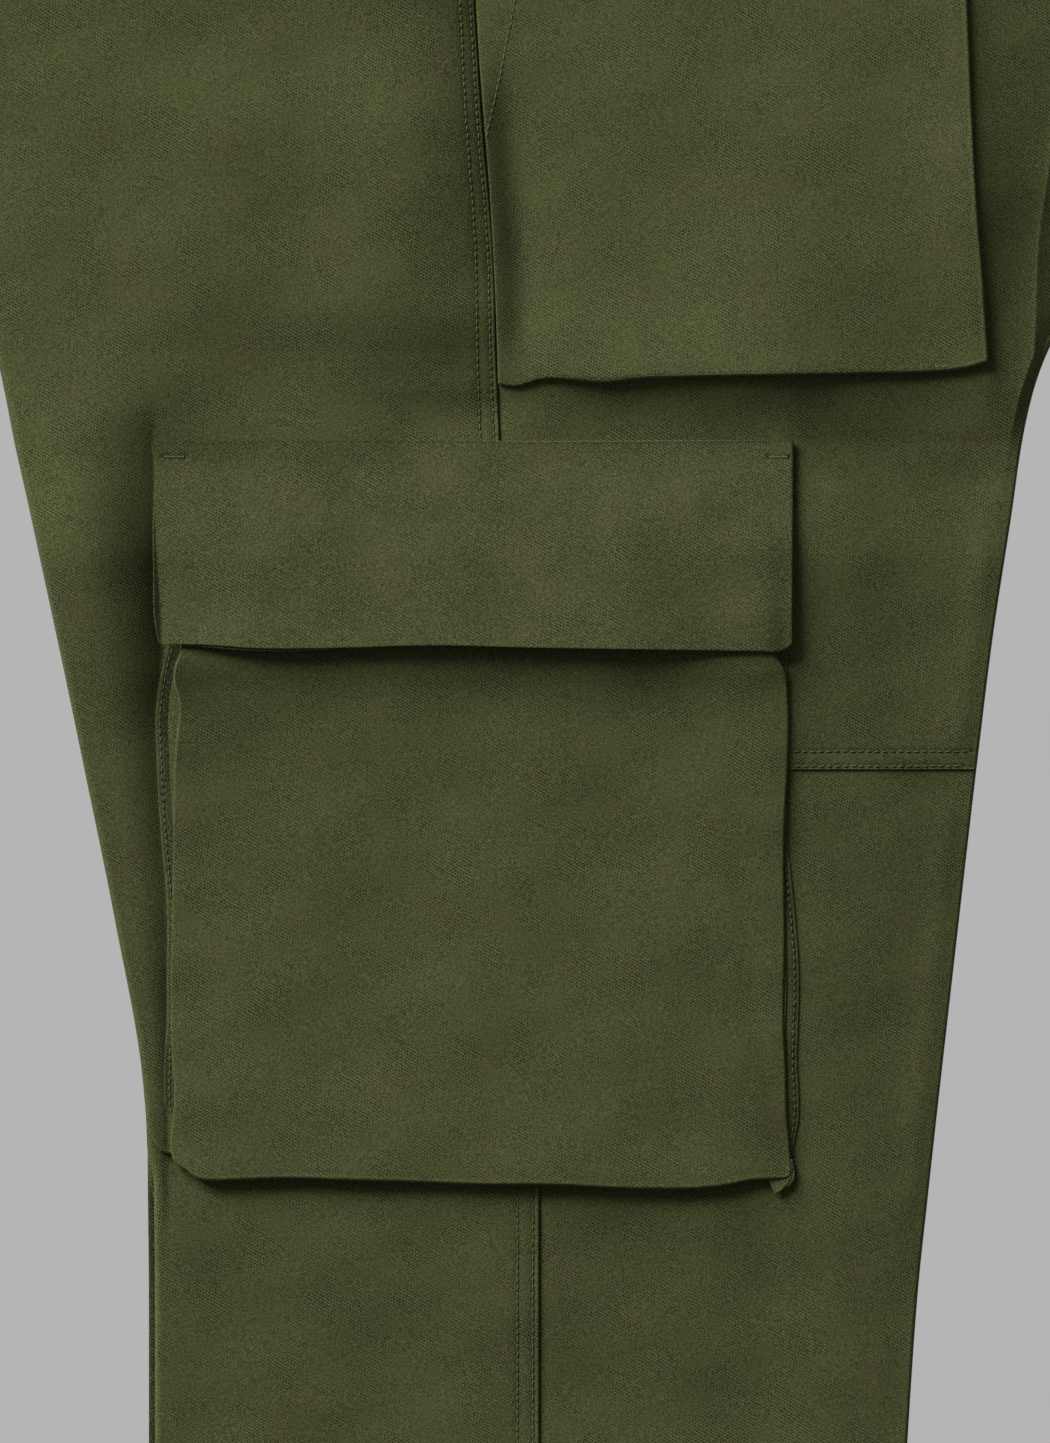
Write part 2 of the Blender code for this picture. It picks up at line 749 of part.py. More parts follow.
def button(lap_top, finish):
    """A plain sewn-through button, its middle dished, on the waistband's lap."""
    drop = BAND_HEIGHT / 2
    x = front_line(drop) - BAND_LAP * BUTTON_PLACE
    base = bed(x, drop) + HIP_HALF + lap_top + 2 * SEAM_GAP
    profile = (
        (0.0, 0.0), (0.80, 0.0), (1.0, 0.30), (1.0, 0.70), (0.90, 1.0),
        (0.72, 1.0), (0.58, 0.72), (0.0, 0.72),
    )
    count = BUTTON_SIDES
    points, faces = [], []
    for share, level in profile:
        ring = 1 if share == 0.0 else count
        for step in range(ring):
            turn = 2 * math.pi * step / count
            radius = BUTTON_RADIUS * share
            points.append((
                radius * math.cos(turn), radius * math.sin(turn), BUTTON_HEIGHT * level,
            ))
    starts = [0]
    for share, _ in profile[:-1]:
        starts.append(starts[-1] + (1 if share == 0.0 else count))
    for index in range(1, len(profile) - 2):
        for step in range(count):
            after = (step + 1) % count
            faces.append((
                starts[index] + step, starts[index] + after,
                starts[index + 1] + after, starts[index + 1] + step,
            ))
    for step in range(count):
        after = (step + 1) % count
        faces.append((0, starts[1] + after, starts[1] + step))
        faces.append((starts[-1], starts[-2] + step, starts[-2] + after))
    made = add_object("waist_button", points, faces, finish)
    made.location = point(x, drop, base)
    slope = (bed(x + BUTTON_RADIUS, drop) - bed(x - BUTTON_RADIUS, drop)) / (2 * BUTTON_RADIUS)
    made.rotation_euler = (0.0, -math.atan(slope), 0.0)
    for number, (across, along) in enumerate(((1, 1), (-1, 1), (-1, -1), (1, -1)), 1):
        bpy.ops.mesh.primitive_cylinder_add(
            vertices=8, radius=BUTTON_HOLE, depth=4 * BUTTON_HEIGHT,
        )
        drill = bpy.context.object
        drill.name = f"button_drill_{number}"
        drill.parent = made
        drill.location = (across * BUTTON_HOLE_SPREAD, along * BUTTON_HOLE_SPREAD, 0.0)
        drill.hide_render = True
        drill.display_type = "WIRE"
        cut = made.modifiers.new(f"hole_{number}", "BOOLEAN")
        cut.operation = "DIFFERENCE"
        cut.object = drill


def build():
    clear_scene()
    cloth = material("olive_twill", OLIVE, 0.85)
    trim = material("olive_button", OLIVE_BUTTON, 0.45)
    panels_top = BAND_HEIGHT + SEAM_GAP / 2
    for name, side in (("right", RIGHT), ("left", LEFT)):
        panel(f"{name}_front_upper", FRONT, side, panels_top, KNEE_SEAM, cloth)
        panel(f"{name}_front_lower", FRONT, side, KNEE_SEAM + SEAM_GAP, LENGTH, cloth)
        panel(f"{name}_back", BACK, side, panels_top, LENGTH, cloth)
        hip_pocket(f"{name}_front_pocket", side, cloth)
        cargo_gusset(f"{name}_cargo_gusset", side, cloth)
        cargo_bag(f"{name}_cargo_bag", side, cloth)
        cargo_flap(f"{name}_cargo_flap", side, cloth)
    lap_top = waistband(cloth)
    fly(cloth)
    button(lap_top, trim)


build()
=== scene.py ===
import math
from collections import namedtuple

import bmesh
import bpy
import numpy as np
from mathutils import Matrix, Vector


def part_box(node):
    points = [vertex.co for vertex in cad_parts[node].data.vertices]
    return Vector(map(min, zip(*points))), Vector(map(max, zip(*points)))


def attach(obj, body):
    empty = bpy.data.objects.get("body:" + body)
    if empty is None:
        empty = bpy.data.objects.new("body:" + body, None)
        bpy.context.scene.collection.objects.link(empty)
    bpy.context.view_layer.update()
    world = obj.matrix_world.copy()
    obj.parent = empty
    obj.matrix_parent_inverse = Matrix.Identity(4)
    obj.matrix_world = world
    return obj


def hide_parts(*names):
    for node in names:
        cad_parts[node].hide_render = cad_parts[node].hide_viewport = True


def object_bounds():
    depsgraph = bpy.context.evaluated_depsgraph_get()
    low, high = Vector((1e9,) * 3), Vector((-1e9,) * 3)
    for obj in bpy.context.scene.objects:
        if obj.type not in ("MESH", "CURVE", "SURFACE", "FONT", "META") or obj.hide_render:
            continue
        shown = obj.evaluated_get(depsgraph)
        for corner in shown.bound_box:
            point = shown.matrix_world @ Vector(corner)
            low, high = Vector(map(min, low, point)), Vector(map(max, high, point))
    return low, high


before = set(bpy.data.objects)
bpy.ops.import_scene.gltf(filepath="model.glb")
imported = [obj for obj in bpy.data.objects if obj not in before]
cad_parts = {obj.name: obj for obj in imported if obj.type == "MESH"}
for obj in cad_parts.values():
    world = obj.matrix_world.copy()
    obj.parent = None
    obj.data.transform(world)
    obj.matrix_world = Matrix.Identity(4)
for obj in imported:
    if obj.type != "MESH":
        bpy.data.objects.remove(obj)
cad_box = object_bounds()


# Surface, light and camera -------------------------------------------------
# The trousers lie on a plain pale surface and are seen from straight above.
# One large soft lamp stands low at the waist's back side, under a dim sky.
FLOOR_SIDE = 8.0
FLOOR_DROP = 0.0004
FLOOR_GLOW = (0.468, 0.457, 0.462)
VIEW_MIDDLE = (0.02275, 0.0960)
VIEW_LENGTH = 0.50505
VIEW_LEVEL = 0.0100
LENS = 250.0
SENSOR = 36.0
KEY_AZIMUTH = 133.0
KEY_ELEVATION = 27.0
KEY_DISTANCE = 14.0
KEY_SIDE = 7.2
KEY_POWER = 3620.0
SKY = (0.145, 0.145, 0.145)


def plain_material(name, colour, roughness):
    """A material with a Principled shader; gives the material, its node tree and the shader."""
    material = bpy.data.materials.new(name)
    material.use_nodes = True
    shader = material.node_tree.nodes["Principled BSDF"]
    shader.inputs["Base Color"].default_value = (*colour, 1.0)
    shader.inputs["Roughness"].default_value = roughness
    return material, material.node_tree, shader


def add_mesh(name, points, faces, material):
    mesh = bpy.data.meshes.new(name)
    mesh.from_pydata(points, [], faces)
    mesh.materials.append(material)
    made = bpy.data.objects.new(name, mesh)
    bpy.context.scene.collection.objects.link(made)
    return made


floor_finish, _, floor_shader = plain_material("pale surface", (0.0, 0.0, 0.0), 1.0)
floor_shader.inputs["Emission Color"].default_value = (*FLOOR_GLOW, 1.0)
floor_shader.inputs["Emission Strength"].default_value = 1.0
floor_shader.inputs["Specular IOR Level"].default_value = 0.0
floor_reach = FLOOR_SIDE / 2
floor_corners = [
    (x * floor_reach, y * floor_reach, -FLOOR_DROP) for x, y in ((-1, -1), (1, -1), (1, 1), (-1, 1))
]
floor = add_mesh("resting_surface", floor_corners, [(0, 1, 2, 3)], floor_finish)

lamp = bpy.data.lights.new("key_lamp", "AREA")
lamp.size = KEY_SIDE
lamp.energy = KEY_POWER
key = bpy.data.objects.new("key_lamp", lamp)
turn, rise = math.radians(KEY_AZIMUTH), math.radians(KEY_ELEVATION)
key.location = (
    VIEW_MIDDLE[0] + KEY_DISTANCE * math.cos(rise) * math.cos(turn),
    VIEW_MIDDLE[1] + KEY_DISTANCE * math.cos(rise) * math.sin(turn),
    KEY_DISTANCE * math.sin(rise),
)
key.rotation_euler = (0.0, math.pi / 2 - rise, turn)
bpy.context.scene.collection.objects.link(key)

sky = bpy.data.worlds.new("studio")
sky.use_nodes = True
sky.node_tree.nodes["Background"].inputs["Color"].default_value = (*SKY, 1.0)
bpy.context.scene.world = sky
bpy.context.scene.view_settings.view_transform = "Standard"

lens = bpy.data.cameras.new("camera")
lens.lens = LENS
lens.sensor_width = SENSOR
camera = bpy.data.objects.new("camera", lens)
camera.location = (*VIEW_MIDDLE, VIEW_LEVEL + VIEW_LENGTH * LENS / SENSOR)
bpy.context.scene.collection.objects.link(camera)
bpy.context.scene.camera = camera


# Back panels ---------------------------------------------------------------
# Each is one piece of cotton twill from the waistband to the hem. Its side
# edge is turned under, lapped over the front panels and sewn down in two rows,
# and it is folded at the back of the leg round to the inseam.
LENGTH = float(cad_box[1][1] - cad_box[0][1])
CLOTH = 0.0012
SEAM_GAP = 0.0003
HIP_HALF = 0.0030
LEG_HALF = 0.0038
BAND_HEIGHT = 0.0400
PANELS_TOP = BAND_HEIGHT + SEAM_GAP / 2
CROTCH_POINT = 0.3370
KNEE_SEAM = 0.4410
SEAM_ALLOWANCE = 0.0060
FAR_LEG_STEP = 0.0023
FAR_LEG_SHOWS = (0.5715, 0.5860)
LAP_RISE = 0.0010
LAP_WIDTHS = (0.0020, 0.0700)
SEAM_ROWS = (0.0016, 0.0070)
FOLD_WIDTH = 0.0023
HEM = 0.0220
HEM_RISE = 0.0009
HEM_EDGE = 0.001
DENT_WIDTH, HOLE_WIDTH = 0.0007, 0.0004
DENT, HOLE_DENT = 0.00012, 0.00026

RIGHT, LEFT = 1, -1
FRONT, BACK = 1, -1

TWILL = (0.0620, 0.0735, 0.0235)
TWILL_PALE = (0.1200, 0.1360, 0.0540)
TWILL_DEEP = (0.0100, 0.0120, 0.0035)
TWILL_BROWN = (0.0710, 0.0675, 0.0265)
SHEEN = (0.80, 0.90, 0.50, 1.0)
THREAD = (0.1080, 0.1190, 0.0530)
THREAD_SHADES = ((0.060, 0.068, 0.026, 1.0), (0.125, 0.136, 0.064, 1.0))
RIB_LEAN = 30.0
RIB_PITCH = 0.00105

Section = namedtuple("Section", "drop back outseam front")
Reach = namedtuple("Reach", "drop back front")
Level = namedtuple("Level", "drop value")
Soft = namedtuple("Soft", "x0 drop0 x1 drop1 wide rise")
Ripple = namedtuple("Ripple", "length turn rise start")
Spot = namedtuple("Spot", "x drop")


def table(kind, *rows):
    """Rows with the kind's named columns."""
    return [kind(*row) for row in rows]


def share_of(value, start, end):
    return np.clip((value - start) / (end - start), 0.0, 1.0)


def soft_step(value, low, high):
    share = share_of(value, low, high)
    return share * share * (3 - 2 * share)


def window(value, rising, falling):
    """One between a stretch where it rises and a stretch where it falls."""
    return soft_step(value, *rising) * (1 - soft_step(value, *falling))


def peak(distance, width):
    """One on a line, and falling away to both its sides."""
    return np.exp(-((distance / width) ** 2))


def cubic(knots, slopes, i, span, t):
    """The curve from knot i to the next one, at the share t of the span between them."""
    return (
        knots[i] * (1 + 2 * t) * (1 - t) ** 2 + slopes[i] * span * t * (1 - t) ** 2
        + knots[i + 1] * t * t * (3 - 2 * t) + slopes[i + 1] * span * t * t * (t - 1)
    )


def smooth(rows, column):
    """A column of a table by drop, as a curve that never overshoots its rows."""
    drops = np.array([row.drop for row in rows])
    values = np.array([getattr(row, column) for row in rows])
    steps = np.diff(values) / np.diff(drops)
    before, after = steps[:-1], steps[1:]
    rising = before * after > 0
    middle = np.where(rising, 2 * before * after / np.where(rising, before + after, 1.0), 0.0)
    slopes = np.concatenate((steps[:1], middle, steps[-1:]))

    def at(drop):
        drop = np.clip(drop, drops[0], drops[-1])
        i = np.clip(np.searchsorted(drops, drop, side="right") - 1, 0, len(steps) - 1)
        span = drops[i + 1] - drops[i]
        return cubic(values, slopes, i, span, (drop - drops[i]) / span)

    return at


def curve(*levels):
    """A smooth curve by drop through levels, each a drop and a value."""
    return smooth(table(Level, *levels), "value")


def straight(*levels):
    """Straight lines by drop between levels, each a drop and a value."""
    drops, values = zip(*levels)
    return lambda drop: np.interp(drop, drops, values)


SECTIONS = table(
    Section,
    (0.0000, -0.2110, -0.0030, 0.2190), (0.0400, -0.2230, -0.0010, 0.2260),
    (0.0900, -0.2430, 0.0010, 0.2390), (0.1400, -0.2580, 0.0031, 0.2510),
    (0.1700, -0.2595, 0.0045, 0.2560), (0.1900, -0.2560, 0.0057, 0.2580),
    (0.2050, -0.2480, 0.0066, 0.2575), (0.2250, -0.2290, 0.0081, 0.2520),
    (0.2450, -0.2040, 0.0100, 0.2405), (0.2620, -0.1830, 0.0111, 0.2280),
    (0.2780, -0.1695, 0.0116, 0.2155), (0.2920, -0.1634, 0.0119, 0.2070),
    (0.3080, -0.1596, 0.0125, 0.2010), (0.3260, -0.1560, 0.0133, 0.1970),
    (0.3500, -0.1505, 0.0146, 0.1935), (0.3950, -0.1408, 0.0170, 0.1866),
    (KNEE_SEAM, -0.1313, 0.0194, 0.1809), (0.4935, -0.1207, 0.0221, 0.1748),
    (0.5495, -0.1110, 0.0250, 0.1684), (0.5700, -0.1096, 0.0261, 0.1661),
    (0.5900, -0.1094, 0.0271, 0.1639), (0.6250, -0.1092, 0.0271, 0.1603),
    (0.6760, -0.1092, 0.0271, 0.1568), (0.7600, -0.1091, 0.0268, 0.1519),
    (0.8500, -0.1090, 0.0263, 0.1470), (0.9450, -0.1090, 0.0257, 0.1428),
    (1.0400, -0.1090, 0.0250, 0.1390),
)
back_line, outseam_line, front_line = (smooth(SECTIONS, column) for column in ("back", "outseam", "front"))
# How far in from the edges each inner wall reaches, to the crotch seam or the inseam.
REACHES = table(
    Reach,
    (0.2620, -0.1770, 0.2220), (0.2780, -0.1350, 0.2095), (0.2920, -0.0870, 0.2010),
    (0.3080, -0.0280, 0.1880), (0.3260, 0.0400, 0.1350), (CROTCH_POINT, 0.0670, 0.0670),
    (0.4500, 0.0555, 0.0555), (0.6000, 0.0470, 0.0470), (0.8000, 0.0360, 0.0360), (1.0400, 0.0230, 0.0230),
)
back_reach, front_reach = (smooth(REACHES, column) for column in ("back", "front"))
# The crest that runs down the front of the near leg.
LEAST_CREST_SPAN = 0.0045
crest_curve = curve(
    (0.0000, 0.1910), (0.0900, 0.2050), (0.1500, 0.2110), (0.1900, 0.2100), (0.2260, 0.2065),
    (0.2620, 0.2020), (0.2880, 0.2012), (0.3080, 0.2001), (0.3200, 0.1983), (0.3335, 0.1955),
    (1.0400, 0.1340),
)
half = straight((CROTCH_POINT, HIP_HALF), (0.3660, LEG_HALF))
# How far the left leg is lifted by its own pockets, which lie under it, and the near
# leg's own lift over the left leg's cargo pocket, which is rounder.
HIP_LIFT_BACK = (-0.0610, -0.0110)
CARGO_LIFT_BACK = (-0.1670, -0.1210)
CARGO_LIFT_FRONT = (0.1340, 0.1890)
hip_lift = straight((0.3080, 0.0023), (0.3260, 0.0))
cargo_lift = straight((0.3080, 0.0), (0.3260, 0.0019), (0.3660, 0.00615), (0.5900, 0.00395), (0.6250, 0.0))
near_lift = curve(
    (0.2950, 0.0), (0.3260, 0.0019), (0.3500, 0.0045), (0.3700, 0.0057), (0.3950, 0.0060), (0.4500, 0.0056),
    (0.5300, 0.0047), (0.5900, 0.0037), (0.6150, 0.0022), (0.6500, 0.0006), (0.6700, 0.0),
)
# Soft creases of the near leg: a ridge or a hollow from one end to the other.
NEAR_SOFTS = table(
    Soft,
    # The seat.
    (-0.1950, 0.0900, -0.1650, 0.1600, 0.0200, 0.0018),
    (-0.1050, 0.0750, -0.0950, 0.1500, 0.0160, 0.0010),
    # The hollow above the cargo flap.
    (-0.0150, 0.3190, 0.0060, 0.3170, 0.0070, -0.0012),
    (0.1300, 0.3160, 0.1700, 0.3270, 0.0090, 0.0008),
    # The front of the thigh.
    (0.1900, 0.3500, 0.1800, 0.4300, 0.0050, 0.0012),
    (0.1440, 0.3450, 0.1560, 0.4150, 0.0110, -0.0009),
    (0.1400, 0.4700, 0.1450, 0.5300, 0.0100, -0.0007),
    (0.1740, 0.4600, 0.1620, 0.5900, 0.0050, 0.0010),
    # Below the cargo pocket.
    (0.1180, 0.5600, 0.1080, 0.6150, 0.0120, -0.0011),
    (0.1350, 0.5900, 0.1250, 0.6800, 0.0120, 0.0010),
    (-0.0600, 0.6150, 0.0000, 0.6350, 0.0140, 0.0006),
    # The shin, which is plainer.
    (-0.0500, 0.7300, 0.0900, 0.7600, 0.0160, 0.0010),
    (-0.0800, 0.8200, 0.0300, 0.8000, 0.0120, -0.0008),
    (0.0200, 0.8700, 0.1100, 0.8450, 0.0130, 0.0009),
    (-0.0500, 0.9400, 0.0700, 0.9550, 0.0150, 0.0008),
    (-0.0050, 0.6500, -0.0100, 0.9900, 0.0600, 0.0010),
)
# The cloth is drawn down along the front edge of the cargo pocket.
FRONT_VALLEY = table(Soft, (0.1150, 0.3500, 0.1165, 0.5750, 0.0050, -0.0006))
# The cloth never lies quite flat: slow waves that cross each other.
RIPPLES = table(
    Ripple,
    (0.0610, 22.0, 0.00032, 0.4), (0.0470, 103.0, 0.00026, 2.1), (0.0330, 151.0, 0.00014, 4.0),
    (0.0230, 64.0, 0.00007, 1.3), (0.0170, 128.0, 0.00004, 5.2),
)
RIPPLE_RIM = (-0.001, 0.012)
RIPPLE_TOP = (BAND_HEIGHT, BAND_HEIGHT + 0.03)
FAR_RIPPLE = 0.0003


def edge(drop, face, side):
    """The silhouette of one leg at its front or back edge."""
    if face == FRONT:
        return front_line(drop)
    step = FAR_LEG_STEP * soft_step(drop, *FAR_LEG_SHOWS)
    return back_line(drop) + (step if side == RIGHT else 0.0)


def crest_line(drop):
    return np.minimum(crest_curve(drop), front_line(drop) - LEAST_CREST_SPAN)


def reach(drop, face):
    """Where the inner wall ends: near the edge, at the crotch seam or at the inseam."""
    at_crotch = (drop < CROTCH_POINT) & (face == BACK)
    seam = np.where(at_crotch, back_reach(drop), front_reach(drop)) + face * SEAM_GAP / 2
    rim = edge(drop, face, LEFT) - face * SEAM_ALLOWANCE
    return np.where(drop < REACHES[0].drop, rim, seam)


def bed(x, drop, lift=cargo_lift):
    """Height of the left leg's outer wall above the surface."""
    to_edge = np.clip((front_line(drop) - x) / (front_line(drop) - crest_line(drop)), 0.0, 1.0)
    hip = hip_lift(drop) * soft_step(x, *HIP_LIFT_BACK) * to_edge
    return hip + lift(drop) * window(x, CARGO_LIFT_BACK, CARGO_LIFT_FRONT)


def crease(softs, x, drop):
    total = np.zeros(np.broadcast(x, drop).shape)
    for soft in softs:
        run_x, run_drop = soft.x1 - soft.x0, soft.drop1 - soft.drop0
        share = ((x - soft.x0) * run_x + (drop - soft.drop0) * run_drop) / (run_x**2 + run_drop**2)
        share = np.clip(share, 0.0, 1.0)
        away = (x - soft.x0 - share * run_x) ** 2 + (drop - soft.drop0 - share * run_drop) ** 2
        total += soft.rise * np.exp(-away / (2 * soft.wide**2))
    return total


def ripple(x, drop):
    total = np.zeros(np.broadcast(x, drop).shape)
    for wave in RIPPLES:
        lean = math.radians(wave.turn)
        phase = (x * math.cos(lean) + drop * math.sin(lean)) / wave.length
        total += wave.rise * np.sin(2 * math.pi * phase + wave.start)
    return total


# Behind the side seam the back panel swells. Lower on the hip the cloth stands proud on
# both sides of the seam, and in front of the seam it falls steeply.
SHOULDER_LENGTH = 0.0190
SHOULDER_STRETCH = 1.2
SHOULDER_STRETCHES = (0.25, 0.33)
SHOULDER_FADE = (0.080, 0.240)
PROUD_RISE = 0.0056
PROUD_DROPS = ((0.1750, 0.2200), (0.2750, 0.3150))
PROUD_FADE, PROUD_FALL = (0.002, 0.160), (-0.001, 0.0120)
TAIL_RISE = 0.0012
TAIL_DROPS = ((0.060, 0.160), (0.2800, 0.3200))
TAIL_FADE, TAIL_FALL = (0.010, 0.160), (0.0, 0.070)
shoulder_rise = curve(
    (BAND_HEIGHT, 0.0), (0.0800, 0.0088), (0.1300, 0.0112), (0.1700, 0.0109), (0.2000, 0.0098),
    (0.2600, 0.0068), (0.3000, 0.0047), (0.3262, 0.0033), (0.3600, 0.0014), (0.3850, 0.0),
)


def seam_swell(x, drop):
    from_seam = outseam_line(drop) - x
    behind, before = np.maximum(from_seam, 0.0), np.maximum(-from_seam, 0.0)
    length = SHOULDER_LENGTH * (1 + SHOULDER_STRETCH * soft_step(drop, *SHOULDER_STRETCHES))
    shoulder = shoulder_rise(drop) * (1 - np.exp(-behind / length)) * (1 - soft_step(behind, *SHOULDER_FADE))
    proud = PROUD_RISE * window(drop, *PROUD_DROPS)
    proud = proud * (1 - soft_step(behind, *PROUD_FADE)) * (1 - soft_step(before, *PROUD_FALL))
    tail = TAIL_RISE * window(drop, *TAIL_DROPS)
    tail = tail * (1 - soft_step(before, *TAIL_FALL)) * (1 - soft_step(behind, *TAIL_FADE))
    return shoulder + proud + tail


# The front swells under the hip pocket. It falls away from the pocket's front edge to
# the crest, which stands a little proud, and from the pocket's bottom edge.
HIP_EDGES = table(
    Level,
    (0.0403, 0.1711), (0.1050, 0.1740), (0.1715, 0.1771), (0.2100, 0.1787), (0.2415, 0.1803),
    (0.2700, 0.1828), (0.2982, 0.1848),
)
hip_edge = smooth(HIP_EDGES, "value")
HIP_UPPER = (0.060, 0.160)
HIP_PUFF_FOOT = (0.3035, 0.3320)
FRONT_PUFF = 0.0092
PUFF_POWER = 1.5
PUFF_STEEPENS = (0.245, 0.300)
PUFF_HOLLOW = 0.75
PUFF_HOLLOW_X, PUFF_HOLLOW_DROPS = (0.105, 0.170), (0.235, 0.300)
CREST_RISE, CREST_ENDS = 0.0028, (0.3000, 0.3450)
CREST_BANK, CREST_FALL = (-0.0450, -0.0040), (0.0, 0.0150)
LEAST_FALL, LEAST_ENDS = 0.0008, (0.3200, 0.3450)


def hip_swell(x, drop):
    upper = soft_step(drop, *HIP_UPPER)
    seam, pocket, crest = outseam_line(drop), hip_edge(drop), crest_line(drop)
    power = PUFF_POWER + PUFF_POWER * soft_step(drop, *PUFF_STEEPENS)
    rising = 1 - (1 - share_of(x, seam, pocket)) ** power
    hollow = PUFF_HOLLOW * soft_step(x, *PUFF_HOLLOW_X) * soft_step(drop, *PUFF_HOLLOW_DROPS)
    puff = FRONT_PUFF * rising * (1 - hollow) * (1 - share_of(x, pocket, crest)) ** PUFF_POWER
    puff = puff * upper * (1 - share_of(drop, *HIP_PUFF_FOOT)) ** 2
    lip = CREST_RISE * upper * (1 - soft_step(drop, *CREST_ENDS))
    least = LEAST_FALL * upper * (1 - soft_step(drop, *LEAST_ENDS))
    beyond = 1 - (1 - share_of(x - crest, *CREST_FALL)) ** 2
    return puff + lip * soft_step(x - crest, *CREST_BANK) - (lip + least) * beyond


# A roll of cloth lies at the back of the leg, and drops steeply to the cargo pocket's edge.
ROLL_POWER = 2.2
ROLL_SPANS, ROLL_WIDENS = (0.95, 0.60), (0.345, 0.400)
ROLL_START_X = -0.0600
ROLL_BESIDE = (0.2980, 0.3360)
back_roll = curve(
    (0.2200, 0.0), (0.3000, 0.0058), (0.3262, 0.0106), (0.3450, 0.0131), (0.3640, 0.0141), (0.3800, 0.0125),
    (0.3980, 0.0097), (0.4150, 0.0073), (0.4350, 0.0051), (0.4600, 0.0036), (0.4900, 0.0027),
    (0.5400, 0.0020), (0.5800, 0.0010), (0.6100, 0.0),
)
roll_foot = curve(
    (0.1800, -0.1072), (0.3285, -0.1072), (0.3600, -0.1062), (0.3976, -0.1042), (0.4043, -0.1042),
    (0.4141, -0.1056), (0.4214, -0.1063), (0.4351, -0.1060), (0.4522, -0.1052), (0.4690, -0.1040),
    (0.4820, -0.1029), (0.5215, -0.1024), (0.6100, -0.1022),
)


def back_swell(x, drop):
    rim = edge(drop, BACK, RIGHT)
    span = ROLL_SPANS[0] - (ROLL_SPANS[0] - ROLL_SPANS[1]) * soft_step(drop, *ROLL_WIDENS)
    steep = 1 - (1 - np.minimum(share_of(x, roll_foot(drop), rim) / span, 1.0)) ** ROLL_POWER
    slow = soft_step((ROLL_START_X - x) / (ROLL_START_X - rim), 0.0, 1.0)
    beside = soft_step(drop, *ROLL_BESIDE)
    return back_roll(drop) * (slow * (1 - beside) + steep * beside)


# The thigh swells under the cargo pocket and falls away from the pocket's front edge.
POCKET_FRONT = 0.1155
SWELL_BACK, SWELL_BACK_SHARE = (-0.1000, -0.0450), 0.35
SWELL_FALL, SWELL_EDGE_FALL = (0.0, 0.0580), (0.0, 0.0130)
SWELL_EDGE_FROM = 0.0600
swell = curve(
    (0.2750, 0.0), (0.3600, 0.0046), (0.4000, 0.0046), (0.4500, 0.0038), (0.5000, 0.0034), (0.5600, 0.0030),
    (0.6000, 0.0020), (0.6600, 0.0),
)
swell_edge = curve(
    (0.3000, 0.0), (0.3400, 0.0012), (0.3950, 0.0010), (0.4200, 0.0004), (0.5000, 0.0002), (0.6300, 0.0),
)


def pocket_swell(x, drop):
    up = SWELL_BACK_SHARE * soft_step(x, *SWELL_BACK)
    up = up + (1 - SWELL_BACK_SHARE) * share_of(x, SWELL_BACK[1], POCKET_FRONT)
    ahead = np.maximum(x - POCKET_FRONT, 0.0)
    broad = swell(drop) * up * (1 - share_of(ahead, *SWELL_FALL)) ** 2
    close = swell_edge(drop) * soft_step(x, SWELL_EDGE_FROM, POCKET_FRONT)
    return broad + close * (1 - share_of(ahead, *SWELL_EDGE_FALL)) ** 2


def near_top(x, drop):
    """Height of the near (right) leg's cloth, before its seams."""
    rim = np.minimum(x - edge(drop, BACK, RIGHT), front_line(drop) - x)
    settle = soft_step(rim, *RIPPLE_RIM) * soft_step(drop, *RIPPLE_TOP)
    waves = (ripple(x, drop) + crease(NEAR_SOFTS, x, drop)) * settle + crease(FRONT_VALLEY, x, drop)
    swellings = seam_swell(x, drop) + hip_swell(x, drop) + back_swell(x, drop) + pocket_swell(x, drop)
    return bed(x, drop, near_lift) + 2 * half(drop) + waves + swellings


def far_bottom(x, drop):
    """Height of the far (left) leg's outer wall, which lies on the surface."""
    waves = 1 + np.sin(57 * x + 31 * drop) * np.sin(71 * drop - 23 * x)
    return bed(x, drop) + FAR_RIPPLE * soft_step(drop, *RIPPLE_TOP) * waves


def place_out(side, x, drop, out):
    """Height of what lies a distance out from a leg's outer wall."""
    return near_top(x, drop) + out if side == RIGHT else bed(x, drop) - out


def points_at(x, drop, z):
    """Points at places x, drop and height z; the drop is measured from the waist's edge."""
    return np.stack(np.broadcast_arrays(x, cad_box[1][1] - drop, z), axis=-1)


def sewn(distance, rows, along, pitch):
    """The dent along rows of stitches, deepest at the needle's holes; and the holes themselves."""
    dent, hole = 0.0, 0.0
    pull = 0.5 + 0.5 * np.cos(2 * math.pi * along / pitch)
    for row in rows:
        dent = dent + peak(distance - row, DENT_WIDTH) * (DENT + HOLE_DENT * pull)
        hole = hole + peak(distance - row, HOLE_WIDTH) * pull
    return dent, hole


def lap(distance):
    """How far the back panel's turned and lapped edge stands up."""
    return LAP_RISE * (1 - soft_step(distance, *LAP_WIDTHS))


def hem_rise(drop):
    """The turned hem is thicker than the leg above it."""
    return HEM_RISE * soft_step(drop, LENGTH - HEM - HEM_EDGE, LENGTH - HEM + HEM_EDGE)


def put(tree, socket, value):
    if isinstance(value, bpy.types.NodeSocket):
        tree.links.new(value, socket)
    else:
        socket.default_value = value


def reckon(tree, operation, *values):
    node = tree.nodes.new("ShaderNodeMath")
    node.operation = operation
    for socket, value in zip(node.inputs, values):
        put(tree, socket, value)
    return node.outputs[0]


def blend_colour(tree, share, low, high):
    node = tree.nodes.new("ShaderNodeMix")
    node.data_type = "RGBA"
    put(tree, node.inputs[0], share)
    put(tree, node.inputs[6], low)
    put(tree, node.inputs[7], high)
    return node.outputs[2]


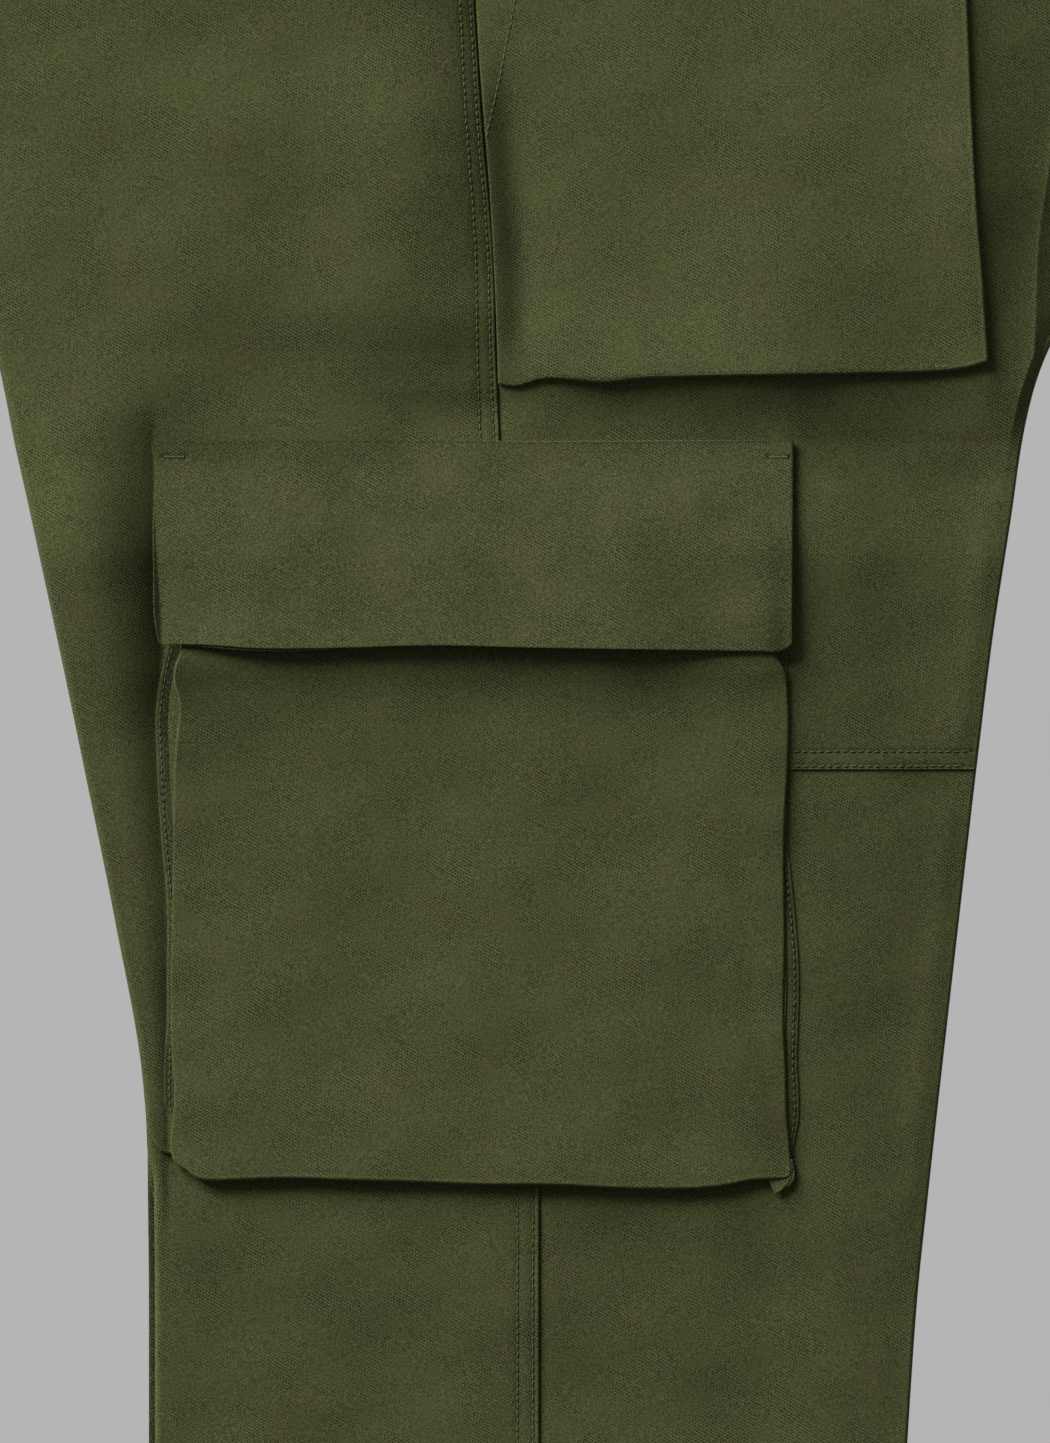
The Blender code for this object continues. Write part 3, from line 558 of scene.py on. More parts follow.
def cloud(tree, place, scale, detail):
    node = tree.nodes.new("ShaderNodeTexNoise")
    tree.links.new(place, node.inputs["Vector"])
    node.inputs["Scale"].default_value = scale
    node.inputs["Detail"].default_value = detail
    return node.outputs[0], node.outputs[1]


def add_bump(tree, shader, height, strength, distance):
    bump = tree.nodes.new("ShaderNodeBump")
    bump.inputs["Strength"].default_value = strength
    bump.inputs["Distance"].default_value = distance
    tree.links.new(height, bump.inputs["Height"])
    tree.links.new(bump.outputs["Normal"], shader.inputs["Normal"])


def build_weave():
    """The twill's ribs, the pinholes between its floats, its nap and its slow changes of hue."""
    group = bpy.data.node_groups.new("twill weave", "ShaderNodeTree")
    for way, kind, names in (
        ("INPUT", "NodeSocketColor", ("Base", "Pale", "Deep", "Brown")),
        ("INPUT", "NodeSocketFloat", ("Pitch", "Lean", "Tone")),
        ("OUTPUT", "NodeSocketColor", ("Colour",)),
        ("OUTPUT", "NodeSocketFloat", ("Roughness", "Height")),
    ):
        for name in names:
            group.interface.new_socket(name=name, in_out=way, socket_type=kind)
    given = group.nodes.new("NodeGroupInput").outputs
    result = group.nodes.new("NodeGroupOutput").inputs
    place = group.nodes.new("ShaderNodeTexCoord").outputs["Object"]

    def calc(operation, *values):
        return reckon(group, operation, *values)

    def clamp(value, low, high):
        return calc("MINIMUM", calc("MAXIMUM", value, low), high)

    def vector(operation, first, second):
        node = group.nodes.new("ShaderNodeVectorMath")
        node.operation = operation
        put(group, node.inputs[0], first)
        put(group, node.inputs[1], second)
        return node.outputs[0]

    _, stray = cloud(group, place, 95.0, 2.0)
    stray = vector("MULTIPLY", vector("SUBTRACT", stray, (0.5, 0.5, 0.5)), (0.0011, 0.0011, 0.0))
    split = group.nodes.new("ShaderNodeSeparateXYZ")
    group.links.new(vector("ADD", place, stray), split.inputs[0])
    x = calc("MULTIPLY", split.outputs[0], given["Lean"])
    y = split.outputs[1]
    cosine, sine = math.cos(math.radians(RIB_LEAN)), math.sin(math.radians(RIB_LEAN))

    def turned(share_x, share_y):
        total = calc("ADD", calc("MULTIPLY", x, share_x), calc("MULTIPLY", y, share_y))
        return calc("DIVIDE", total, given["Pitch"])

    def wave(phase):
        return calc("MULTIPLY_ADD", calc("COSINE", calc("MULTIPLY", phase, 2 * math.pi)), 0.5, 0.5)

    across = turned(sine, cosine)
    along = calc("MULTIPLY_ADD", calc("FLOOR", across), 0.37, turned(cosine, -sine))
    rib = wave(across)
    pin = calc("POWER", calc("MULTIPLY", calc("SUBTRACT", 1.0, rib), wave(along)), 2.0)
    patchy, _ = cloud(group, place, 80.0, 2.0)
    patchy = clamp(calc("MULTIPLY_ADD", patchy, 2.6, -0.75), 0.18, 1.0)
    nap, _ = cloud(group, place, 1500.0, 2.0)
    nap = calc("SUBTRACT", nap, 0.5)
    fade, _ = cloud(group, place, 55.0, 3.0)

    deep = calc("MULTIPLY", calc("MULTIPLY", pin, patchy), 1.45)
    deep = calc("ADD", deep, calc("MULTIPLY", nap, -2.1))
    # Tone below zero paints shade in; above zero it paints wear and highlights.
    deep = calc("ADD", deep, calc("MAXIMUM", calc("MULTIPLY", given["Tone"], -1.0), 0.0))
    pale = calc("MULTIPLY", calc("MULTIPLY", rib, patchy), 0.34)
    pale = calc("ADD", pale, calc("MULTIPLY", nap, 2.1))
    pale = calc("ADD", pale, calc("MAXIMUM", given["Tone"], 0.0))
    brown = calc("MULTIPLY_ADD", fade, 2.2, -0.75)
    colour = blend_colour(group, clamp(brown, 0.0, 0.8), given["Base"], given["Brown"])
    colour = blend_colour(group, clamp(pale, 0.0, 1.0), colour, given["Pale"])
    colour = blend_colour(group, clamp(deep, 0.0, 0.92), colour, given["Deep"])
    height = calc("MULTIPLY", calc("SUBTRACT", calc("MULTIPLY", rib, 0.45), pin), patchy)
    height = calc("ADD", height, calc("MULTIPLY", nap, 0.9))
    group.links.new(colour, result["Colour"])
    group.links.new(calc("MULTIPLY_ADD", nap, 0.15, 0.88), result["Roughness"])
    group.links.new(height, result["Height"])
    return group


weave = build_weave()


def twill(name, lean, base=TWILL):
    """The olive twill; lean is 1 where the cloth's right side faces up and -1 where it faces down."""
    material, tree, shader = plain_material(name, base, 0.9)
    shader.inputs["Specular IOR Level"].default_value = 0.12
    shader.inputs["Sheen Weight"].default_value = 0.06
    shader.inputs["Sheen Roughness"].default_value = 0.5
    shader.inputs["Sheen Tint"].default_value = SHEEN
    node = tree.nodes.new("ShaderNodeGroup")
    node.node_tree = weave
    colours = {"Base": base, "Pale": TWILL_PALE, "Deep": TWILL_DEEP, "Brown": TWILL_BROWN}
    for socket, colour in colours.items():
        node.inputs[socket].default_value = (*colour, 1.0)
    node.inputs["Pitch"].default_value = RIB_PITCH
    node.inputs["Lean"].default_value = lean
    # The tone attribute carries painted shade, painted highlights and wear.
    tone = tree.nodes.new("ShaderNodeAttribute")
    tone.attribute_name = "tone"
    tree.links.new(tone.outputs["Fac"], node.inputs["Tone"])
    tree.links.new(node.outputs["Colour"], shader.inputs["Base Color"])
    tree.links.new(node.outputs["Roughness"], shader.inputs["Roughness"])
    add_bump(tree, shader, node.outputs["Height"], 0.55, 0.00022)
    return material


twill_up = twill("olive twill", 1.0)
twill_down = twill("olive twill underside", -1.0)

thread_finish, thread_tree, thread_shader = plain_material("olive thread", THREAD, 0.7)
thread_shader.inputs["Specular IOR Level"].default_value = 0.3
thread_place = thread_tree.nodes.new("ShaderNodeTexCoord").outputs["Object"]
thread_mix, _ = cloud(thread_tree, thread_place, 2300.0, 2.0)
thread_tree.links.new(
    blend_colour(thread_tree, thread_mix, *THREAD_SHADES), thread_shader.inputs["Base Color"],
)
add_bump(thread_tree, thread_shader, thread_mix, 0.6, 0.0001)


def cloth_piece(name, shell, side, finish=None):
    """Makes a sheet of twill from its shell, and puts it in place of its plain solid."""
    points, faces, tone = shell
    made = add_mesh(name, points, faces, finish or (twill_up if side == RIGHT else twill_down))
    shape = bmesh.new()
    shape.from_mesh(made.data)
    bmesh.ops.recalc_face_normals(shape, faces=shape.faces)
    shape.to_mesh(made.data)
    shape.free()
    made.data.shade_smooth()
    made.data.set_sharp_from_angle(angle=math.radians(50))
    layer = made.data.attributes.new("tone", "FLOAT", "POINT")
    layer.data.foreach_set("value", np.asarray(tone, dtype=np.float32))
    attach(made, "root")
    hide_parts(name.removesuffix("_cloth"))


def wall(outer, thickness, every, sign, tone):
    """A closed shell under an outer face of rows of points.

    Its inner face is coarser, every so many columns, and its side edges are
    round. sign says to which side of the rows the face looks.
    """
    rows, count = outer.shape[:2]
    across = np.gradient(outer, axis=1)
    normal = np.cross(across, np.gradient(outer, axis=0)) * sign
    normal /= np.linalg.norm(normal, axis=2, keepdims=True)
    kept = np.unique(np.append(np.arange(0, count, every), count - 1))
    thick = np.broadcast_to(thickness, rows)[:, None]
    inner = outer[:, kept] - thick[:, :, None] * normal[:, kept]

    def roll(high, low, outward):
        middle, up = (high + low) / 2, (high - low) / 2
        outward = outward / np.linalg.norm(outward, axis=1, keepdims=True) * thick / 2
        turns = [math.radians(angle) for angle in (60, 30, 0, -30, -60)]
        return [middle + up * math.sin(turn) + outward * math.cos(turn) for turn in turns]

    end = roll(outer[:, -1], inner[:, -1], across[:, -1])
    start = roll(outer[:, 0], inner[:, 0], -across[:, 0])[::-1]
    ring = np.concatenate(
        [outer, np.stack(end, axis=1), inner[:, ::-1], np.stack(start, axis=1)], axis=1
    )
    size, turns, low = ring.shape[1], len(end), len(kept)
    grid = np.arange(rows * size).reshape(rows, size)
    after = np.roll(grid, -1, axis=1)
    faces = np.stack((grid[:-1], after[:-1], after[1:], grid[1:]), axis=-1).reshape(-1, 4).tolist()
    for row in (grid[0], grid[-1]):
        below = row[count + turns:count + turns + low][::-1]
        for first, last, near, far in zip(kept[:-1], kept[1:], below[:-1], below[1:]):
            faces.append([*row[first:last + 1].tolist(), int(far), int(near)])
        faces.append([*row[count - 1:count + turns + 1].tolist()])
        faces.append([*row[count + turns + low - 1:].tolist(), int(row[0])])
    shade = np.zeros((rows, size))
    shade[:, :count] = tone
    return ring.reshape(-1, 3), faces, shade.ravel()


def even(start, end, count):
    """Columns between two lines, the first line left out."""
    shares = np.arange(1, count + 1) / count
    return start[:, None] * (1 - shares) + end[:, None] * shares


def fold_and_inner(drop, face, side, outer_x, outer_z):
    """Adds the fold at the leg's edge and the inner wall to an outer wall's columns."""
    drops = drop[:, None]
    rim = edge(drop, face, side)[:, None]
    start = outer_x[:, -1:]
    inner_level = bed(start, drops) + half(drops) + side * SEAM_GAP / 2
    turns = np.radians(np.arange(75, -91, -15))[None, :]
    fold_x = rim + (start - rim) * (1 - np.cos(turns))
    middle, radius = (outer_z[:, -1:] + inner_level) / 2, (outer_z[:, -1:] - inner_level) / 2
    fold_z = middle + radius * np.sin(turns)
    inner_x = even(start[:, 0], reach(drop, face), INNER_COLUMNS)
    inner_z = bed(inner_x, drops) + half(drops) + side * SEAM_GAP / 2
    x = np.concatenate((outer_x, fold_x, inner_x), axis=1)
    return points_at(x, drops, np.concatenate((outer_z, fold_z, inner_z), axis=1))


def joined(*shells):
    """Several shells of points, faces and tones as one."""
    points, faces, tones, first = [], [], [], 0
    for shell_points, shell_faces, shell_tones in shells:
        points.append(shell_points)
        faces += [[corner + first for corner in face] for face in shell_faces]
        tones.append(shell_tones)
        first += len(shell_points)
    return np.concatenate(points), faces, np.concatenate(tones)


# Behind the knee the near leg's cloth is folded over itself in a small tuck.
TUCK_TOP = 0.5420
TUCK_RISE = 0.0026
TUCK_SINK = 0.0002
TUCK_CLOTH = 0.0010
TUCK_LIP = table(
    Spot, (-0.1100, 0.5655), (-0.1096, 0.5661), (-0.1075, 0.5698), (-0.1057, 0.5726), (-0.1043, 0.5740),
    (-0.1013, 0.5747), (-0.0950, 0.5748),
)
TUCK_COLUMNS = ((-0.1093, -0.1070, 12), (-0.1066, -0.0960, 20))
TUCK_ROWS = np.array((0.0, 0.15, 0.3, 0.45, 0.6, 0.72, 0.82, 0.89, 0.94, 0.97, 0.985, 1.0))[None, :]
TUCK_HIGHLIGHT_ROWS, TUCK_HIGHLIGHT = (0.93, 0.99), 0.45


def tuck_lip(x):
    return np.interp(x, [spot.x for spot in TUCK_LIP], [spot.drop for spot in TUCK_LIP])


def knee_tuck():
    x = np.concatenate([np.linspace(*columns) for columns in TUCK_COLUMNS])[:, None]
    drop = TUCK_TOP + (tuck_lip(x) - TUCK_TOP) * TUCK_ROWS
    top = near_top(x, drop)
    inner_level = bed(x, drop) + half(drop) + SEAM_GAP / 2
    into_fold = np.clip((x - edge(drop, BACK, RIGHT)) / FOLD_WIDTH, 0.0, 1.0)
    middle = (top + inner_level) / 2
    z = middle + (top - middle) * np.sqrt(1 - (1 - into_fold) ** 2)
    z = z - TUCK_SINK + (TUCK_RISE + TUCK_SINK) * soft_step(TUCK_ROWS, 0.2, 1.0)
    # A painted highlight along the tuck's lip.
    rim_highlight = TUCK_HIGHLIGHT * soft_step(TUCK_ROWS, *TUCK_HIGHLIGHT_ROWS) * np.ones_like(z)
    return wall(points_at(x, drop, z), TUCK_CLOTH, 1, 1, rim_highlight)


BACK_SEAM_SPANS = np.array((
    0, 0.0005, 0.0011, 0.0016, 0.0021, 0.0028, 0.0045, 0.0064, 0.0070, 0.0076, 0.0085, 0.0105, 0.0130, 0.0155,
))
ROLL_ROOM, LEAST_ROLL_ROOM = 0.0040, 0.0010
ROLL_COLUMNS, INNER_COLUMNS = 8, 10
FINE_WINDOWS = ((0.1690, 0.3310), (0.5600, 0.6800))
HOLE_SHADE, EDGE_WEAR_AND_HIGHLIGHT, EDGE_WIDTH = 0.8, 0.45, 0.0006
# Painted shade beside the seam at the hip: the cloth there is darkened as if in shade.
SEAM_SHADE_DROPS, PAINTED_SEAM_SHADE = ((0.050, 0.110), (0.235, 0.310)), 0.10
SEAM_SHADE_PLACE, SEAM_SHADE_WIDTH = 0.0120, 0.0220
# Below the knee a painted highlight runs along the near leg's fold, and the far leg's edge, which peeps
# out, gets painted shade. A painted shadow darkens the leg right under the tuck's lip.
LOW_LEG = (0.5760, 0.5900)
FOLD_HIGHLIGHT, FOLD_HIGHLIGHT_REACH = 0.40, 0.0005
FAR_EDGE_SHADE, FAR_EDGE = 0.75, 0.0040
LIP_SHADE, LIP_PLACE, LIP_WIDTH = 0.80, 0.0004, 0.0008
LIP_END_X, LIP_COLUMNS = -0.0940, 6
# How much closer together the side seam's rows of stitches lie above the knee.
seam_narrow = straight((0.1000, 0.66), (0.1750, 0.66), (0.2900, 0.84), (0.4500, 1.0))


def seam_drops(start, end, pitch, coarse):
    """Rows at every half stitch in the fine windows, and farther apart elsewhere."""
    counts = np.arange(math.ceil(start / pitch * 2 + 0.2), math.floor(end / pitch * 2 - 0.2) + 1)
    drops = counts * pitch / 2
    fine = np.zeros(len(drops), dtype=bool)
    for low, high in FINE_WINDOWS:
        fine |= (drops > low) & (drops < high)
    return np.concatenate(([start], drops[fine | (counts % coarse == 0)], [end]))


def back_panel(name, side, drops, columns, every):
    rows = drops[:, None]
    seam = outseam_line(drops)
    narrow = seam_narrow(drops)[:, None]
    start = seam[:, None] - BACK_SEAM_SPANS * narrow
    rim = edge(drops, BACK, side) + FOLD_WIDTH
    before_foot = roll_foot(drops) + ROLL_ROOM
    past_foot = np.maximum(roll_foot(drops) - ROLL_ROOM, rim + LEAST_ROLL_ROOM)
    x = np.concatenate((
        start, even(start[:, -1], before_foot, columns), even(before_foot, past_foot, ROLL_COLUMNS),
        even(past_foot, rim, columns),
    ), axis=1)
    away = seam[:, None] - x
    dent, hole = sewn(away / narrow, SEAM_ROWS, rows, SEAM_STITCH.pitch)
    if side == RIGHT:
        z = near_top(x, rows) + lap(away) - dent + hem_rise(rows)
    else:
        z = far_bottom(x, rows)
    outer = fold_and_inner(drops, BACK, side, x, z)
    tone = np.zeros(outer.shape[:2])
    # A pale seam rim, partly wear and partly painted highlight, and painted shade in the needle holes.
    tone[:, :x.shape[1]] = EDGE_WEAR_AND_HIGHLIGHT * peak(away, EDGE_WIDTH) - HOLE_SHADE * hole
    # Painted shade beside the seam at the hip.
    tone[:, :x.shape[1]] -= PAINTED_SEAM_SHADE * window(rows, *SEAM_SHADE_DROPS) * peak(away - SEAM_SHADE_PLACE, SEAM_SHADE_WIDTH)
    low_leg = soft_step(rows, *LOW_LEG)
    from_edge = outer[:, :, 0] - edge(rows, BACK, side)
    if side == RIGHT:
        # A painted highlight along the near leg's fold below the knee.
        tone = tone + FOLD_HIGHLIGHT * low_leg * peak(from_edge - FOLD_HIGHLIGHT_REACH, FOLD_HIGHLIGHT_REACH)
        # A painted shadow right under the tuck's lip.
        below_lip = rows - tuck_lip(outer[:, :, 0])
        under_lip = peak(below_lip - LIP_PLACE, LIP_WIDTH) * (outer[:, :, 0] < LIP_END_X)
        tone = tone - LIP_SHADE * under_lip * (np.arange(tone.shape[1]) < x.shape[1] + LIP_COLUMNS)
    else:
        # Painted shade on the far leg's edge below the knee.
        tone = tone - FAR_EDGE_SHADE * low_leg * (from_edge < FAR_EDGE)
    shells = [wall(outer, CLOTH, every, -BACK * side, tone)]
    if side == RIGHT:
        shells.append(knee_tuck())
    cloth_piece(name, joined(*shells), side)


Stitch = namedtuple("Stitch", "pitch length thread")
SEAM_STITCH = Stitch(0.0026, 0.00195, 0.00046)

back_panel("right_back_cloth", RIGHT, seam_drops(PANELS_TOP, LENGTH, SEAM_STITCH.pitch, 3), 30, 4)
back_panel("left_back_cloth", LEFT, np.linspace(PANELS_TOP, LENGTH, 150), 14, 2)

# A stitch is a short thread with tapered ends: rings by place along it and radius.
STITCH_RINGS = ((-0.46, 0.55), (-0.36, 0.92), (0.0, 1.0), (0.36, 0.92), (0.46, 0.55))
STITCH_LIFT, STITCH_BOW, STITCH_STRAY = 0.15, 0.3, 0.12
STITCH_CHANGE = 0.05
STITCH_FLOOR = 0.00005
STITCH_SINK, STITCH_SHALLOW_SINK = 0.00012, 0.0001


def stitch_shape(sides):
    """One stitch along X, of unit length and radius."""
    points = [(-0.5, 0.0, 0.0)]
    for place, radius in STITCH_RINGS:
        for index in range(sides):
            turn = 2 * math.pi * index / sides
            points.append((place, radius * math.cos(turn), radius * math.sin(turn)))
    points.append((0.5, 0.0, 0.0))
    faces = []
    last = len(points) - 1
    for index in range(sides):
        after = (index + 1) % sides
        faces.append((0, 1 + after, 1 + index))
        faces.append((last, last - sides + index, last - sides + after))
        for ring in range(len(STITCH_RINGS) - 1):
            first = 1 + ring * sides
            faces.append((first + index, first + after, first + sides + after, first + sides + index))
    return np.array(points), faces


def sew(name, lines, top, stitch, side=RIGHT, sides=6):
    """Rows of stitches as one mesh, along lines of points (x, drop). top is the cloth under them."""
    shape, shape_faces = stitch_shape(sides)
    chance = np.random.default_rng(len(name) + len(lines))
    points, faces = [], []
    for line in lines:
        line = np.asarray(line)
        lengths = np.concatenate(([0], np.cumsum(np.linalg.norm(np.diff(line, axis=0), axis=1))))
        count = int(lengths[-1] / stitch.pitch + 1e-6)
        middles = (np.arange(count) + 0.5) * stitch.pitch
        ends = []
        for shift in (-stitch.length / 2, stitch.length / 2):
            x = np.interp(middles + shift, lengths, line[:, 0])
            drop = np.interp(middles + shift, lengths, line[:, 1])
            ends.append(points_at(x, drop, top(x, drop)))
        along = ends[1] - ends[0]
        long = np.linalg.norm(along, axis=1, keepdims=True)
        along /= long
        beside = np.cross((0.0, 0.0, 1.0), along)
        beside /= np.linalg.norm(beside, axis=1, keepdims=True)
        up = np.cross(along, beside)
        middle = (ends[0] + ends[1]) / 2 + side * up * stitch.thread * STITCH_LIFT
        middle += beside * chance.normal(0.0, stitch.thread * STITCH_STRAY, (count, 1))
        along = along + beside * chance.normal(0.0, STITCH_CHANGE, (count, 1))
        size = chance.normal(1.0, STITCH_CHANGE, (count, 1))
        bow = side * (1 - (2 * shape[:, :1]) ** 2) * stitch.thread * STITCH_BOW
        for index in range(count):
            first = len(points) * len(shape)
            points.append(
                middle[index] + shape[:, :1] * long[index] * size[index] * along[index]
                + shape[:, 1:2] * stitch.thread / 2 * beside[index]
                + (shape[:, 2:] * stitch.thread / 2 + bow) * up[index]
            )
            faces += [tuple(first + corner for corner in face) for face in shape_faces]
    points = np.concatenate(points)
    if side == LEFT:
        points[:, 2] = np.maximum(points[:, 2], STITCH_FLOOR)
    made = add_mesh(name, points, faces, thread_finish)
    made.data.shade_smooth()
    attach(made, "root")


def sew_both(name, lines, near, far, stitch, sides=6):
    """The same rows on the right leg and on the left one, whose outer side is hidden."""
    sew(f"right_{name}", lines, near, stitch, sides=sides)
    sew(f"left_{name}", lines, far, stitch, side=LEFT, sides=4)


def back_top(x, drop):
    return near_top(x, drop) + lap(outseam_line(drop) - x) - STITCH_SINK + hem_rise(drop)


def seam_line(offset, start, end, pitch):
    drops = np.arange(math.ceil(start / pitch) * pitch, end, pitch / 2)
    return np.stack((outseam_line(drops) - offset * seam_narrow(drops), drops), axis=-1)


seam_lines = [seam_line(offset, PANELS_TOP, LENGTH, SEAM_STITCH.pitch) for offset in SEAM_ROWS]
sew_both("outseam_stitches", seam_lines, back_top, far_bottom, SEAM_STITCH)


# Front panels --------------------------------------------------------------
# Each front is two pieces of the same twill, joined across the knee: the upper
# one laps over the lower one and is sewn down in two rows. Both run under the
# back panel's lapped edge, and fold at the front of the leg round to the inseam.
UNDER_LAP = 0.0030
UNDER_LAP_SINK, UNDER_LAP_RISES = 0.0004, (-0.0005, 0.0030)
KNEE_STITCH = Stitch(0.0028, 0.00205, 0.00046)
KNEE_ROWS = (0.0014, 0.0066)
KNEE_LAP, KNEE_LAP_RISES = 0.0008, (KNEE_SEAM - 0.0420, KNEE_SEAM - 0.0040)
KNEE_SINK, KNEE_SINK_EDGE = 0.0003, (-0.001, 0.001)
KNEE_WEAR_AND_HIGHLIGHT, KNEE_WIDTH = 0.4, 0.0007
FRONT_SEAM_SPANS = np.array((0, 0.0015, 0.0028, 0.0034, 0.0045, 0.0065, 0.0090, 0.0120, 0.0155))
CREST_SPANS = np.array((-0.0030, -0.0018, -0.0010, -0.0005, 0, 0.0005, 0.0010, 0.0016, 0.0026))
CREST_ROOM = 0.0032
CREST_HIGHLIGHT_DROPS, CREST_PLACE = ((0.16, 0.18), (0.32, 0.345)), 0.0002
COARSE_SHARE = 0.55


def knee_lap(drop):
    """The upper panel's lower edge, turned under and raised on the lower panel."""
    return KNEE_LAP * soft_step(drop, *KNEE_LAP_RISES)


def front_panel(name, side, drops, steps, every, upper):
    rows = drops[:, None]
    under = SEAM_GAP / 2 if side == LEFT else -UNDER_LAP
    start = outseam_line(rows) + under + FRONT_SEAM_SPANS
    crest = crest_line(drops)
    coarse_end = start[:, -1] + (crest - start[:, -1]) * COARSE_SHARE
    rim = np.maximum(front_line(drops) - FOLD_WIDTH, crest + CREST_ROOM)
    x = np.concatenate((
        start, even(start[:, -1], coarse_end, steps[0]), even(coarse_end, crest + CREST_SPANS[0], steps[1]),
        crest[:, None] + CREST_SPANS[1:], even(crest + CREST_SPANS[-1], rim, steps[2]),
    ), axis=1)
    tone = np.zeros(x.shape)
    if side == RIGHT:
        z = near_top(x, rows) + hem_rise(rows)
        z = z - UNDER_LAP_SINK * (1 - soft_step(x - outseam_line(rows), *UNDER_LAP_RISES))
        # A pale line along the crest, partly wear and partly painted highlight.
        lit_crest = soft_step(rows, *CREST_HIGHLIGHT_DROPS[0]) - soft_step(rows, *CREST_HIGHLIGHT_DROPS[1])
        tone = tone + EDGE_WEAR_AND_HIGHLIGHT * peak(x - crest[:, None] + CREST_PLACE, EDGE_WIDTH) * lit_crest
        away = KNEE_SEAM - rows
        if upper:
            dent, hole = sewn(away, KNEE_ROWS, x, KNEE_STITCH.pitch)
            z = z + knee_lap(rows) - dent
            # A pale rim on the knee seam's lap, partly wear and partly painted highlight.
            tone = tone - HOLE_SHADE * hole + KNEE_WEAR_AND_HIGHLIGHT * peak(away, KNEE_WIDTH)
        else:
            z = z - KNEE_SINK * (1 - soft_step(-away, *KNEE_SINK_EDGE))
    else:
        z = far_bottom(x, rows)
    outer = fold_and_inner(drops, FRONT, side, x, z)
    shade = np.zeros(outer.shape[:2])
    shade[:, :x.shape[1]] = tone
    shell = wall(outer, CLOTH, every, -FRONT * side, shade)
    cloth_piece(name, shell, side)


def spread(*stretches):
    """Rows by stretches of (start, end, step)."""
    parts = [np.linspace(start, end, max(int(round((end - start) / step)), 1), endpoint=False)
             for start, end, step in stretches]
    return np.append(np.concatenate(parts), stretches[-1][1])


knee_edge = KNEE_SEAM - 0.0004
hem_start = LENGTH - HEM - 0.002
upper_drops = spread(
    (PANELS_TOP, 0.165, 0.004), (0.165, 0.296, 0.0022), (0.296, 0.330, 0.0014), (0.330, 0.424, 0.0022),
    (0.424, knee_edge - 0.0090, 0.0014), (knee_edge - 0.0090, knee_edge, 0.0007),
)
lower_drops = spread(
    (KNEE_SEAM - 0.0030, KNEE_SEAM + 0.0020, 0.0010), (KNEE_SEAM + 0.0020, 0.575, 0.0024),
    (0.575, 0.690, 0.0017), (0.690, hem_start, 0.0045), (hem_start, LENGTH, 0.0015),
)
far_upper_drops = np.linspace(PANELS_TOP, KNEE_SEAM, 70)
far_lower_drops = np.linspace(KNEE_SEAM + SEAM_GAP, LENGTH, 90)
front_panel("right_front_upper_cloth", RIGHT, upper_drops, (26, 58, 10), 4, True)
front_panel("right_front_lower_cloth", RIGHT, lower_drops, (26, 40, 4), 4, False)
front_panel("left_front_upper_cloth", LEFT, far_upper_drops, (14, 14, 3), 2, True)
front_panel("left_front_lower_cloth", LEFT, far_lower_drops, (14, 14, 2), 2, False)


def knee_top(x, drop):
    return near_top(x, drop) + knee_lap(drop) - STITCH_SINK


def hem_top(x, drop):
    on_back = x < outseam_line(drop)
    lapped = np.where(on_back, lap(outseam_line(drop) - x), 0.0)
    return near_top(x, drop) + hem_rise(drop) - STITCH_SHALLOW_SINK + lapped


def level_line(drop, start, end, count):
    """A line across the leg at one drop."""
    x = np.linspace(start, end, count)
    return np.stack((x, np.full_like(x, drop)), axis=-1)


knee_lines = [
    level_line(drop, outseam_line(drop) + 0.002, front_line(drop) - 0.003, 60)
    for drop in (KNEE_SEAM - row for row in KNEE_ROWS)
]
sew_both("knee_stitches", knee_lines, knee_top, far_bottom, KNEE_STITCH)

hem_row = LENGTH - HEM + 0.0018
hem_line = level_line(hem_row, back_line(hem_row) + FAR_LEG_STEP + 0.0030, front_line(hem_row) - 0.0030, 120)
sew_both("hem_stitches", [hem_line], hem_top, far_bottom, KNEE_STITCH)


# Hip pockets ---------------------------------------------------------------
# A large patch of twill on each front, caught in the side seam and in the
# waistband. Its bottom and front edges are turned under twice and stand off
# the panel, and a slanted row of stitches marks its opening.
POCKET_CLOTH = 0.0010
HIP_POCKET_TOP = 0.0403
HIP_POCKET_FRONT = [Spot(row.value, row.drop) for row in HIP_EDGES]
HIP_POCKET_SIDE = (HIP_POCKET_TOP, 0.09, 0.14, 0.19, 0.24, 0.28, 0.3059)
HIP_POCKET_BOTTOM = table(
    Spot,
    (0.0189, 0.3069), (0.0287, 0.3044), (0.0420, 0.3051), (0.0490, 0.3058), (0.0630, 0.3045),
    (0.0805, 0.3038), (0.1190, 0.3031), (0.1435, 0.3024), (0.1640, 0.3018), (0.1723, 0.3012),
    (0.1776, 0.3003), (0.1820, 0.2991), (0.1848, 0.2982),
)
RIM_MARKS = (0.0, 0.00005, 0.00018, 0.00045, 0.0009, 0.0014, 0.0020, 0.0029, 0.0042, 0.0060, 0.0085)
RIM_ROUND = 0.0009
RIM_WIDTH = 0.0007
BEAD_RISE = 0.00012
TUCK_IN = (0.0012, 0.0036)

Near = namedtuple("Near", "back front top bottom rim")


def curve_through(spots):
    """A smooth curve through spots, by its share of the way along."""
    spots = np.array(spots, dtype=float)
    lengths = np.concatenate(([0], np.cumsum(np.linalg.norm(np.diff(spots, axis=0), axis=1))))
    lengths /= lengths[-1]
    slopes = np.gradient(spots, lengths, axis=0)

    def at(share):
        share = np.clip(share, 0.0, 1.0)
        i = np.clip(np.searchsorted(lengths, share, side="right") - 1, 0, len(lengths) - 2)
        span = (lengths[i + 1] - lengths[i])[..., None]
        return cubic(spots, slopes, i, span, (share[..., None] - lengths[i][..., None]) / span)

    return at


